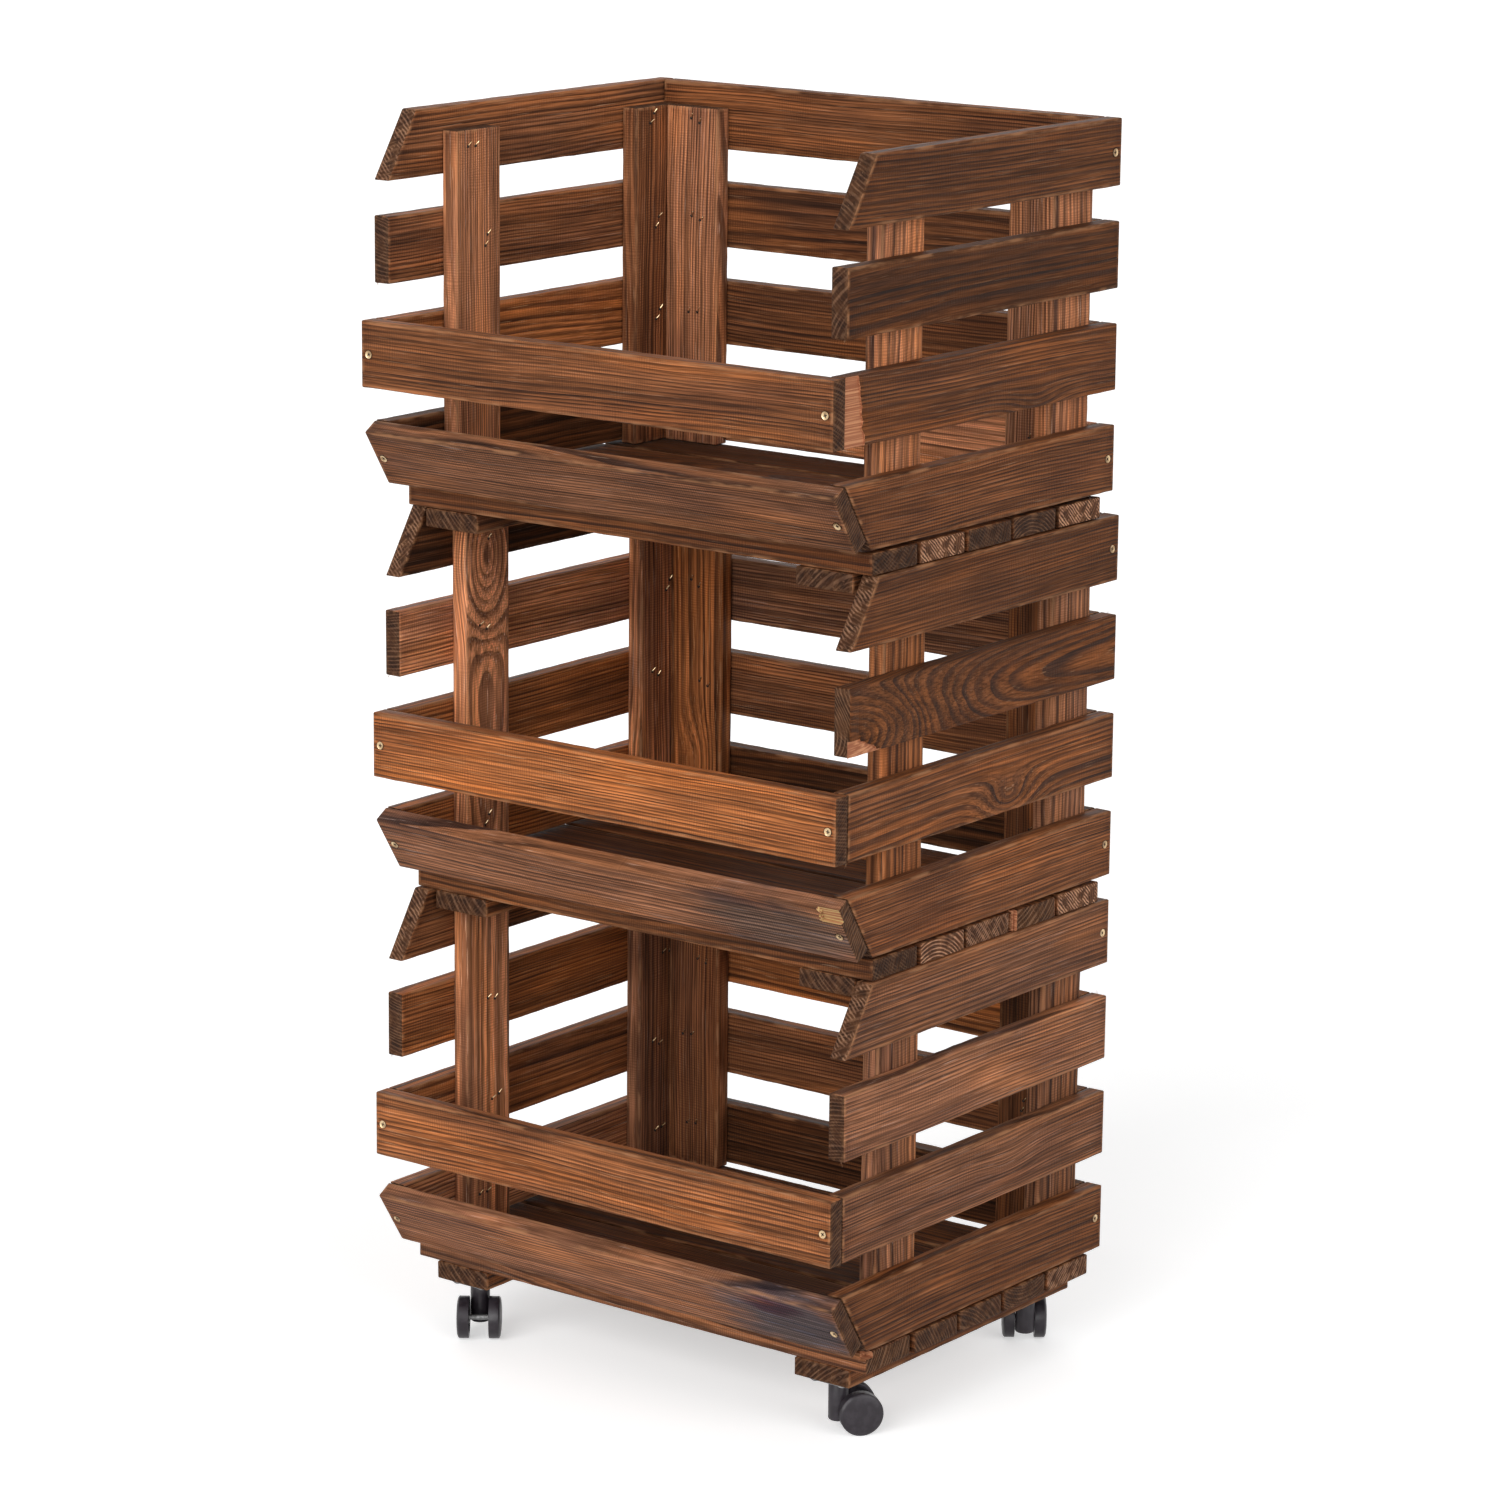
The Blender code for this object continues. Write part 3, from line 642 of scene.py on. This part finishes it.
post = sawn_board("post_stock", POST_HIGH - POST_LOW, BOARD_WIDTH, BOARD_THICKNESS)
for crate in CRATES:
    looks = iter(POST_LOOKS[crate])
    for side, word in SIDES:
        for y, end in zip(SIDE_POST_YS, ("front", "rear")):
            label = f"{word}_{end}_post"
            center = (side * POST_X, y, POST_MIDDLE)
            lay_board(post, crate, label, f"{word}_side_panel", center, Z, side * Y, next(looks),
                      POST_KNOTS.get(f"{crate}_{label}", NO_KNOT))
    for side, word in SIDES:
        label = f"back_{word}_post"
        center = (side * BACK_POST_X, BACK_POST_Y, POST_MIDDLE)
        lay_board(post, crate, label, "back_panel", center, Z, -X, next(looks),
                  POST_KNOTS.get(f"{crate}_{label}", NO_KNOT))


# The front rails: one upright across the ends of the second slats, and one that lies on the
# slanted ends of the bottom slats. A screw in each end fixes them. The lower rails of the two
# lower crates are blue-grey near their right ends, where the sapwood had turned.
RAIL_LENGTH = 0.500
RAIL_Y = -0.0088
RAIL_LEVEL = 1
RAIL_LEAN = math.atan2(SLANT, BOARD_WIDTH)
RAIL_LOOKS = {
    "bottom": ("straight amber", "fine dusty"),
    "middle": ("fine orange", "straight dusty"),
    "top": ("straight brown", "fine plum"),
}
YELLOW_WOOD = (0.620, 0.470, 0.200, 1)

turned_pine = {
    "top": pine,
    "middle": stained_pine("grey_stained_pine", [
        (0.185, -0.004, 0.105, 0.040, (0.56, 0.76, 1.05, 1)),
        (0.150, 0.021, 0.075, 0.010, (0.50, 0.52, 0.62, 1)),
    ], YELLOW_WOOD),
    "bottom": stained_pine("blue_stained_pine", [
        (0.200, -0.002, 0.088, 0.052, (0.34, 0.58, 1.12, 1)),
        (0.182, 0.017, 0.036, 0.012, (0.58, 0.34, 0.46, 1)),
    ]),
}
rail = sawn_board("rail_stock", RAIL_LENGTH, BOARD_WIDTH, BOARD_THICKNESS, 0, [(-SIDE_X, 0), (SIDE_X, 0)])
torn_rail = torn(rail, x=RAIL_LENGTH / 2 - 0.008, y=0.024, length=0.024, width=0.016, depth=0.0035)
rail_turn = Matrix.Rotation(RAIL_LEAN, 3, "X")
leaning_edge = Vector((0, 0, SLAT_BASE + BOARD_WIDTH))
for crate in CRATES:
    upper, lower = RAIL_LOOKS[crate]
    center = (0, RAIL_Y, slat_height(RAIL_LEVEL))
    lay_board(rail, crate, "upper_rail", "front_upper_rail", center, X, Z, upper)
    center = rail_turn @ Vector((0, RAIL_Y, -BOARD_WIDTH / 2)) + leaning_edge
    lay_board(torn_rail if crate == "middle" else rail, crate, "lower_rail", "front_lower_rail", center,
              X, rail_turn @ Z, lower, material=turned_pine[crate])

for stock in (batten, floor_stock, plain_slat, back_slant, front_slant, back_slat, post, rail, torn_rail,
              *torn_floors.values(), *torn_slats.values()):
    bpy.data.objects.remove(stock, do_unlink=True)


# The wood screws: yellow zinc-plated cross-head screws, sunk flush, one in each rail end and
# one through the rear end of the top and the bottom slat of each side.
HEAD_RADIUS = 0.0035
HEAD_DEPTH = 0.0020
HEAD_DISH = 0.0004
HEAD_SINK = 0.0002
CROSS_LENGTH = 0.0052
CROSS_WIDTH = 0.0015
CROSS_DEPTH = 0.0024


def finish_material(name, color, dull, metal, roughness, grain_scale, bump_depth):
    """A plated or moulded finish: its colour dulls in patches, and a fine relief breaks its gloss."""
    material, tree, inputs = new_material(name)
    place = add_node(tree, "TexCoord", {}).outputs["Object"]
    patches = fade(tree, noise(tree, place, (130, 130, 130), 3.0), 0.42, 0.62)
    specks = noise(tree, place, (grain_scale,) * 3, 2.0)
    tree.links.new(blend(tree, patches, color, dull), inputs["Base Color"])
    gloss = calc(tree, "MULTIPLY_ADD", patches, 0.14, calc(tree, "MULTIPLY_ADD", specks, 0.10, roughness))
    tree.links.new(gloss, inputs["Roughness"])
    bump = add_node(tree, "Bump", {"Height": specks, "Strength": 0.6, "Distance": bump_depth})
    tree.links.new(bump.outputs[0], inputs["Normal"])
    inputs["Metallic"].default_value = metal
    return material


def cross_head_screw(name, radius, depth, dome):
    """A screw head about Z with its top at 0, dished for a countersunk head or domed."""
    bpy.ops.mesh.primitive_cylinder_add(vertices=28, radius=radius, depth=depth, location=(0, 0, -depth / 2))
    head = started(name)
    choose(head, "faces", lambda face: face.normal.z > 0.9)
    bpy.ops.mesh.inset(thickness=radius * 0.12)
    bpy.ops.transform.translate(value=(0, 0, dome * 0.45))
    bpy.ops.mesh.inset(thickness=radius * 0.22)
    bpy.ops.transform.translate(value=(0, 0, dome * 0.55))
    if dome < 0:
        choose(head, "faces", lambda face: face.normal.z < -0.9)
        bpy.ops.transform.resize(value=(SCREW_HOLE_BOTTOM_SHARE, SCREW_HOLE_BOTTOM_SHARE, 1))
    bpy.ops.object.mode_set(mode="OBJECT")
    for turn in (0, math.pi / 2):
        bpy.ops.mesh.primitive_cube_add(size=1, rotation=(0, 0, turn),
                                        scale=(CROSS_LENGTH, CROSS_WIDTH, CROSS_DEPTH))
        tool = started("cross")
        choose(tool, "faces", lambda face: face.normal.z < -0.9)
        bpy.ops.transform.resize(value=(0.5, 0.5, 1))
        bpy.ops.object.mode_set(mode="OBJECT")
        combine(head, tool)
    # Faces in the cross take the second material: painted shade in the recess.
    for face in head.data.polygons:
        inside = face.center.xy.length < CROSS_LENGTH / 2 and -depth < face.center.z < dome - NEAR / 2
        face.material_index = int(inside)
    bpy.ops.object.shade_smooth_by_angle(angle=math.radians(35))
    return head


def set_in(stock, name, body, center, outward, materials):
    """A copy of a small part with its Z turned outward at a place, and a turn of its own."""
    mesh = stock.data.copy()
    for material in materials:
        mesh.materials.append(material)
    facing = outward.to_track_quat("Z", "Y").to_matrix().to_4x4()
    spin = Matrix.Rotation(chance.uniform(0, math.tau), 4, "Z")
    mesh.transform(Matrix.Translation(center) @ facing @ spin)
    piece = added(name, mesh)
    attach(piece, body)
    return piece


yellow_zinc = finish_material(
    "yellow_zinc", color=(0.66, 0.48, 0.28, 1), dull=(0.34, 0.22, 0.12, 1),
    metal=1.0, roughness=0.30, grain_scale=2600, bump_depth=0.00004)
# The cross of a screw is coloured near black: painted shade in the recess.
painted_shade_recess = finish_material(
    "painted_shade_recess", color=(0.030, 0.019, 0.012, 1), dull=(0.055, 0.035, 0.022, 1),
    metal=0.2, roughness=0.5, grain_scale=2600, bump_depth=0.00004)
screw_finishes = (yellow_zinc, painted_shade_recess)
wood_screw = cross_head_screw("wood_screw_stock", HEAD_RADIUS, HEAD_DEPTH, -HEAD_DISH)
for crate in CRATES:
    body = f"crate_{crate}"
    corner = corner_of(crate)
    front_face = RAIL_Y - BOARD_THICKNESS / 2 + HEAD_SINK
    for side, word in SIDES:
        place = Vector((side * SIDE_X, front_face, slat_height(RAIL_LEVEL)))
        set_in(wood_screw, f"{crate}_upper_rail_screw_{word}", body, corner + place, -Y, screw_finishes)
        place = rail_turn @ Vector((side * SIDE_X, front_face, -BOARD_WIDTH / 2)) + leaning_edge
        set_in(wood_screw, f"{crate}_lower_rail_screw_{word}", body, corner + place, rail_turn @ -Y,
               screw_finishes)
        for level in (0, 3):
            x = side * (SIDE_X + BOARD_THICKNESS / 2 - HEAD_SINK)
            place = Vector((x, SIDE_LENGTH - REAR_SCREW_INSET, slat_height(level)))
            set_in(wood_screw, f"{crate}_{word}_rear_screw_{level + 1}", body, corner + place, side * X,
                   screw_finishes)
bpy.data.objects.remove(wood_screw, do_unlink=True)


# The staples hold each slat to the posts from outside. Where their legs come out of a post
# they are bent over, and each has torn a small hole, coloured near black: torn wood with painted shadow.
STAPLE_RADIUS = 0.00042
STAPLE_REACH = 0.0054
STAPLE_CROWN = 0.0100
STAPLE_BEND = math.radians(68)
STAPLE_STAND = 0.0004
HOLE_RADIUS = 0.0013
HOLE_DEPTH = 0.0006

bright_wire = finish_material(
    "bright_wire", color=(0.82, 0.62, 0.36, 1), dull=(0.46, 0.30, 0.15, 1),
    metal=1.0, roughness=0.28, grain_scale=3000, bump_depth=0.00002)
# The holes round the staple points: torn wood, darkened to near black as painted shadow of the bent legs.
torn_wood_and_painted_shadow = finish_material(
    "torn_wood_and_painted_shadow", color=(0.012, 0.008, 0.006, 1), dull=(0.022, 0.013, 0.008, 1),
    metal=0.0, roughness=0.8, grain_scale=1800, bump_depth=0.0002)
bpy.ops.mesh.primitive_cylinder_add(
    vertices=6, radius=STAPLE_RADIUS, depth=STAPLE_REACH, rotation=(0, STAPLE_BEND, 0),
    location=(STAPLE_REACH * 0.40, 0, STAPLE_STAND))
leg = started("staple_leg_stock")
choose(leg, "faces", lambda face: face.normal.x > 0.8)
bpy.ops.mesh.inset(thickness=STAPLE_RADIUS * 0.5)
bpy.ops.transform.translate(value=(STAPLE_RADIUS * 1.5, 0, 0))
bpy.ops.object.mode_set(mode="OBJECT")
bpy.ops.mesh.primitive_cylinder_add(vertices=8, radius=HOLE_RADIUS, depth=HOLE_DEPTH, location=(0, 0, 0))
hole = started("staple_hole_stock")
choose(hole, "faces", lambda face: face.normal.z > 0.9)
bpy.ops.mesh.inset(thickness=HOLE_RADIUS * 0.3)
bpy.ops.mesh.inset(thickness=HOLE_RADIUS * 0.2)
bpy.ops.transform.translate(value=(0, 0, -HOLE_DEPTH * 0.35))
bpy.ops.object.mode_set(mode="OBJECT")


def gather(name, copies, materials):
    """One piece of many small copies: (stock, matrix, number of the material) for each."""
    shape = bmesh.new()
    for stock, matrix, number in copies:
        mesh = stock.data.copy()
        mesh.transform(matrix)
        first = len(shape.faces)
        shape.from_mesh(mesh)
        shape.faces.ensure_lookup_table()
        for face in shape.faces[first:]:
            face.material_index = number
        bpy.data.meshes.remove(mesh)
    mesh = bpy.data.meshes.new(name)
    shape.to_mesh(mesh)
    shape.free()
    for material in materials:
        mesh.materials.append(material)
    return added(name, mesh)


for crate in CRATES:
    body = f"crate_{crate}"
    walls = []
    for side, word in SIDES:
        x = side * (POST_X - BOARD_THICKNESS / 2)
        walls.append((f"{word}_side", -side * X, Y, [(x, y) for y in SIDE_POST_YS]))
    back_face = BACK_POST_Y - BOARD_THICKNESS / 2
    walls.append(("back", -Y, X, [(side * BACK_POST_X, back_face) for side in (-1, 1)]))
    for word, outward, level_way, posts in walls:
        copies = []
        for x, y in posts:
            for level in range(4):
                middle = corner_of(crate) + Vector((x, y, slat_height(level)))
                turn = chance.choice((0.1, -0.1, 1.2, -0.4)) + chance.uniform(-0.2, 0.2)
                middle += level_way * chance.uniform(-0.010, 0.010) + Z * chance.uniform(-0.012, 0.010)
                for end in (-0.5, 0.5):
                    shift = level_way * math.cos(turn) + Z * math.sin(turn)
                    up = math.radians(chance.uniform(35, 65))
                    lean = level_way * math.cos(up) + Z * math.sin(up)
                    turned = Matrix((lean, outward.cross(lean), outward)).transposed().to_4x4()
                    matrix = Matrix.Translation(middle + shift * end * STAPLE_CROWN) @ turned
                    copies += [(leg, matrix, 0), (hole, matrix, 1)]
        piece = gather(f"{crate}_{word}_staples", copies, (bright_wire, torn_wood_and_painted_shadow))
        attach(piece, body)
bpy.data.objects.remove(leg, do_unlink=True)
bpy.data.objects.remove(hole, do_unlink=True)


# The splinters: fine fibres that the saw has left standing at some corners and along the
# upper edges of the rough boards, paler than the stained wood.
FIBRE_LENGTH = 0.0055
FIBRE_RADIUS = 0.00022
FIBRE_MIDDLE = FIBRE_LENGTH * 0.42
FIBRE_ROOT = 0.0006
FRINGE_COUNT = 26

bpy.ops.mesh.primitive_cone_add(
    vertices=5, radius1=FIBRE_RADIUS, radius2=FIBRE_RADIUS / 4, depth=FIBRE_LENGTH,
    location=(0, 0, FIBRE_MIDDLE))
fibre = started("fibre_stock")
bpy.ops.mesh.select_all(action="SELECT")
bpy.ops.mesh.subdivide(number_cuts=1)
choose(fibre, "verts", lambda vert: abs(vert.co.z - FIBRE_MIDDLE) < FIBRE_LENGTH / 4)
bpy.ops.transform.translate(value=(FIBRE_LENGTH * 0.08, 0, 0))
bpy.ops.object.mode_set(mode="OBJECT")
dry_fibre = finish_material(
    "dry_fibre", color=(0.34, 0.19, 0.10, 1), dull=(0.20, 0.09, 0.045, 1),
    metal=0.0, roughness=0.7, grain_scale=2200, bump_depth=0.00004)


def tuft(place, direction, spread, count):
    """Fibres that stand up at a place, spread along Y: a copy of the fibre for each."""
    copies = []
    for _ in range(count):
        way = direction + Vector([chance.uniform(-0.6, 0.6) for _ in range(3)])
        foot = place + Y * chance.uniform(-spread, spread) - direction * FIBRE_ROOT
        size = Matrix.Scale(chance.uniform(0.35, 1.0) * (0.5 if spread > 0.01 else 1), 4)
        facing = way.to_track_quat("Z", "Y").to_matrix().to_4x4()
        copies.append((fibre, Matrix.Translation(foot) @ facing @ size, 0))
    return copies


for crate in CRATES:
    body = f"crate_{crate}"
    corner = corner_of(crate)
    tufts = []
    for side in (-1, 1):
        for level in (1, 2):
            low = Vector((side * (SIDE_X + BOARD_THICKNESS * 0.3), 0.0015, SLAT_BASE + level * SLAT_PITCH))
            tufts += tuft(corner + low, Vector((0, -0.3, -1)), 0.001, 4)
        high = Vector((side * SIDE_X, SIDE_LENGTH - 0.003, SLAT_BASE + BOARD_WIDTH + 2 * SLAT_PITCH))
        tufts += tuft(corner + high, Vector((0, 0.2, 1)), 0.002, 3)
    level = {"bottom": 1, "middle": 2, "top": 0}[crate]
    edge = Vector((SIDE_X + BOARD_THICKNESS * 0.4, SIDE_LENGTH / 2,
                   SLAT_BASE + BOARD_WIDTH + level * SLAT_PITCH))
    tufts += tuft(corner + edge, Vector((-0.4, 0.5, 0.5)), SIDE_LENGTH * 0.45, FRINGE_COUNT)
    piece = gather(f"{crate}_splinters", tufts, [dry_fibre])
    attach(piece, body)
bpy.data.objects.remove(fibre, do_unlink=True)


# The castor wheels: pairs of black moulded discs, domed outside, with a plain flat tread, and
# hollow inside round the hub. Each runs on the end of the steel axle by itself.
WHEEL_RADIUS = 0.019
TREAD_WIDTH = 0.0088
RIM_WALL = 0.0035
WHEEL_HUB_RADIUS = 0.006
RECESS_DEPTH = 0.0055
BORE_RADIUS = 0.00275
BORE_DEPTH = 0.0070
WHEEL_EASE = 0.0004
DOME_STEPS = ((0.0009, 0.0010), (0.0020, 0.0007), (0.0040, 0.0005), (0.0060, 0.0002))
WHEEL_INNER_FACE = 0.0089
CASTOR_TRAIL = 0.0165
CASTOR_HEADINGS = {"front_left": -53, "front_right": 50, "rear_left": 205, "rear_right": 127}

black_plastic = finish_material(
    "black_plastic", color=(0.019, 0.015, 0.019, 1), dull=(0.027, 0.022, 0.027, 1),
    metal=0.0, roughness=0.27, grain_scale=2400, bump_depth=0.00003)
black_plastic.node_tree.nodes["Principled BSDF"].inputs["Specular IOR Level"].default_value = 0.34
bpy.ops.mesh.primitive_cylinder_add(vertices=72, radius=WHEEL_RADIUS, depth=TREAD_WIDTH,
                                    location=(0, 0, TREAD_WIDTH / 2))
wheel = started("wheel_stock")
choose(wheel, "faces", lambda face: face.normal.z > 0.9)
for inward, rise in DOME_STEPS:
    bpy.ops.mesh.inset(thickness=inward)
    bpy.ops.transform.translate(value=(0, 0, rise))
choose(wheel, "faces", lambda face: face.normal.z < -0.9)
bpy.ops.mesh.inset(thickness=RIM_WALL)
bpy.ops.mesh.inset(thickness=WHEEL_RADIUS - RIM_WALL - WHEEL_HUB_RADIUS)
bpy.ops.mesh.inset(thickness=WHEEL_HUB_RADIUS - BORE_RADIUS)
bpy.ops.mesh.extrude_region_move(TRANSFORM_OT_translate={"value": (0, 0, BORE_DEPTH)})
choose(wheel, "faces", lambda face: face.normal.z < -0.9 and face.calc_center_median().z < NEAR
       and WHEEL_HUB_RADIUS < face.calc_center_median().length < WHEEL_RADIUS - RIM_WALL)
bpy.ops.mesh.extrude_region_move(TRANSFORM_OT_translate={"value": (0, 0, RECESS_DEPTH)})
ease_edges(WHEEL_EASE, 2)
bpy.ops.object.mode_set(mode="OBJECT")
bpy.ops.object.shade_smooth_by_angle(angle=math.radians(40))


def castor_place(corner):
    """The matrix of a castor's swivel on the ground, turned to the way it trails."""
    low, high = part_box(f"castor_{corner}_plate")
    spot = Vector(((low.x + high.x) / 2, (low.y + high.y) / 2, 0))
    return Matrix.Translation(spot) @ Matrix.Rotation(math.radians(CASTOR_HEADINGS[corner]), 4, "Z")


def hang(stock, name, body, node, matrix):
    """A copy of a moulded castor part at its place, on its body, in place of its solid."""
    mesh = stock.data.copy()
    mesh.materials.clear()
    mesh.materials.append(black_plastic)
    mesh.transform(matrix)
    piece = added(name, mesh)
    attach(piece, body)
    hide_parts(node)


for corner in CASTOR_HEADINGS:
    for side, word in ((1, "left"), (-1, "right")):
        node = f"castor_{corner}_wheel_{word}"
        hub = Matrix.Translation((CASTOR_TRAIL, side * WHEEL_INNER_FACE, WHEEL_RADIUS))
        outward = (side * Y).to_track_quat("Z", "X").to_matrix().to_4x4()
        hang(wheel, f"{corner}_{word}_wheel", node, node, castor_place(corner) @ hub @ outward)
bpy.data.objects.remove(wheel, do_unlink=True)


# The castor housings: an upright neck that turns on the plate's pin, and a hub behind it that
# carries the axle between the wheels, flat below. Moulded in one piece of black plastic.
NECK_RADIUS = 0.00875
NECK_LOW = 0.0105
NECK_HIGH = 0.0460
NECK_MIDDLE = (NECK_LOW + NECK_HIGH) / 2
NECK_FOOT_EASE = 0.0018
NECK_TOP_EASE = 0.0006
HUB_WIDTH = 0.017
HUB_RADIUS = 0.0132
HUB_CUT_HEIGHT = 0.0145
HUB_EASE = 0.0008
SHOULDER_HEIGHT = 0.0395
SHOULDER_THICKNESS = 0.0004

bpy.ops.mesh.primitive_cylinder_add(vertices=48, radius=NECK_RADIUS, depth=NECK_HIGH - NECK_LOW,
                                    location=(0, 0, NECK_MIDDLE))
housing = started("housing_stock")
for low, ease, steps in ((True, NECK_FOOT_EASE, 4), (False, NECK_TOP_EASE, 2)):
    choose(housing, "edges", lambda edge: all((vert.co.z < NECK_MIDDLE) == low for vert in edge.verts)
           and len(edge.link_faces) == 2 and edge.calc_face_angle() > 1)
    bpy.ops.mesh.bevel(offset=ease, segments=steps, affect="EDGES")
bpy.ops.object.mode_set(mode="OBJECT")
bpy.ops.mesh.primitive_cylinder_add(vertices=64, radius=HUB_RADIUS, depth=HUB_WIDTH,
                                    rotation=(math.pi / 2, 0, 0), location=(CASTOR_TRAIL, 0, WHEEL_RADIUS))
hub = started("hub")
bpy.ops.mesh.primitive_cube_add(
    size=1, location=(SHOULDER_THICKNESS / 2, 0, (HUB_CUT_HEIGHT + SHOULDER_HEIGHT) / 2),
    scale=(SHOULDER_THICKNESS, HUB_WIDTH, SHOULDER_HEIGHT - HUB_CUT_HEIGHT))
bpy.ops.mesh.select_all(action="SELECT")
bpy.ops.mesh.convex_hull()
bpy.ops.mesh.bisect(plane_co=(0, 0, HUB_CUT_HEIGHT), plane_no=(0, 0, -1), use_fill=True, clear_outer=True)
ease_edges(HUB_EASE, 3)
bpy.ops.object.mode_set(mode="OBJECT")
combine(housing, hub, "UNION")
bpy.ops.object.shade_smooth_by_angle(angle=math.radians(40))
for corner in CASTOR_HEADINGS:
    body = f"castor_{corner}"
    hang(housing, f"{corner}_housing", body, f"{body}_housing", castor_place(corner))
bpy.data.objects.remove(housing, do_unlink=True)


# The castor plates and axles: bright zinc-plated steel, pressed and turned. Their solids have
# the right shape and stay. Four small pan-head screws hold each plate up into the batten.
PLATE_THICKNESS = 0.002
PLATE_HOLE = 0.0142
PAN_RADIUS = 0.0036
PAN_DEPTH = 0.0012
PAN_DOME = 0.0008

# The plated steel is coloured dark grey: painted shade under the batten on a bright zinc finish.
zinc = finish_material(
    "zinc_with_painted_shade", color=(0.26, 0.26, 0.26, 1), dull=(0.17, 0.17, 0.17, 1),
    metal=1.0, roughness=0.42, grain_scale=1500, bump_depth=0.00004)
pan_screw = cross_head_screw("pan_screw_stock", PAN_RADIUS, PAN_DEPTH, PAN_DOME)
for corner in CASTOR_HEADINGS:
    for node in (f"castor_{corner}_plate", f"castor_{corner}_axle"):
        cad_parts[node].data.materials.clear()
        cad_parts[node].data.materials.append(zinc)
    _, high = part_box(f"castor_{corner}_plate")
    middle = castor_place(corner).translation + Z * (high.z - PLATE_THICKNESS - PAN_DEPTH)
    for number, (x, y) in enumerate(((1, 1), (-1, 1), (-1, -1), (1, -1))):
        center = middle + Vector((x, y, 0)) * PLATE_HOLE
        set_in(pan_screw, f"castor_{corner}_screw_{number + 1}", "crate_bottom", center, -Z,
               (zinc, painted_shade_recess))
bpy.data.objects.remove(pan_screw, do_unlink=True)


# The studio: a pale floor that runs out of sight, two very large soft lights at either side of
# the camera and a weak one behind, a white surround, and the camera at the photograph's place.
GROUND_SIZE = 80
bpy.ops.mesh.primitive_plane_add(size=GROUND_SIZE, location=(0, 0, 0))
ground = bpy.context.object
ground.name = "studio_floor"
pale, tree, inputs = new_material("pale_floor")
rays = add_node(tree, "LightPath", {})
seen = calc(tree, "MAXIMUM", rays.outputs["Is Camera Ray"], rays.outputs["Is Glossy Ray"])
tree.links.new(blend(tree, seen, (0.70, 0.70, 0.70, 1), (0.90, 0.90, 0.90, 1)), inputs["Base Color"])
tree.links.new(times(tree, seen, 0.45), inputs["Emission Strength"])
inputs["Emission Color"].default_value = (1, 1, 1, 1)
inputs["Roughness"].default_value = 0.9
inputs["Specular IOR Level"].default_value = 0.0
ground.data.materials.append(pale)

world = bpy.data.worlds.new("studio")
bpy.context.scene.world = world
world.use_nodes = True
tree = world.node_tree
rays = add_node(tree, "LightPath", {})
seen = calc(tree, "MAXIMUM", rays.outputs["Is Camera Ray"], rays.outputs["Is Glossy Ray"])
tree.nodes["Background"].inputs["Color"].default_value = (1, 1, 1, 1)
tree.links.new(add_node(tree, "MapRange", {0: seen, 3: 0.31, 4: 1.0}).outputs[0],
               tree.nodes["Background"].inputs["Strength"])

LIGHT_HEIGHT = math.radians(20)
LIGHT_SPREAD = math.radians(50)
for name, azimuth, power in (("right_light", -10, 1.4), ("left_light", -84, 2.5), ("back_light", 140, 0.7)):
    light = bpy.data.lights.new(name, "SUN")
    light.energy = power
    light.angle = LIGHT_SPREAD
    lamp = added(name, light)
    toward = Vector((math.cos(LIGHT_HEIGHT), 0, math.sin(LIGHT_HEIGHT)))
    toward = Matrix.Rotation(math.radians(azimuth), 3, "Z") @ toward
    lamp.rotation_euler = toward.to_track_quat("Z", "Y").to_euler()

CAMERA_PLACE = (2.637958, -3.466504, 1.571345)
FOCAL_LENGTH = 123.3808
SENSOR_WIDTH = 36
FARTHEST_VIEW = 200
YAW, PITCH, ROLL = (math.radians(angle) for angle in (37.159517, -13.244469, 0.551584))
forward = Vector((-math.sin(YAW) * math.cos(PITCH), math.cos(YAW) * math.cos(PITCH), math.sin(PITCH)))
level = Vector((math.cos(YAW), math.sin(YAW), 0))
upward = level.cross(forward)
camera_x = math.cos(ROLL) * level + math.sin(ROLL) * upward
camera_y = -math.sin(ROLL) * level + math.cos(ROLL) * upward
camera = added("camera", bpy.data.cameras.new("camera"))
camera.data.lens = FOCAL_LENGTH
camera.data.sensor_width = SENSOR_WIDTH
camera.data.sensor_fit = "HORIZONTAL"
camera.data.clip_end = FARTHEST_VIEW
aim = Matrix((camera_x, camera_y, -forward)).transposed().to_4x4()
camera.matrix_world = Matrix.Translation(CAMERA_PLACE) @ aim
bpy.context.scene.camera = camera
bpy.context.scene.view_settings.view_transform = "Standard"
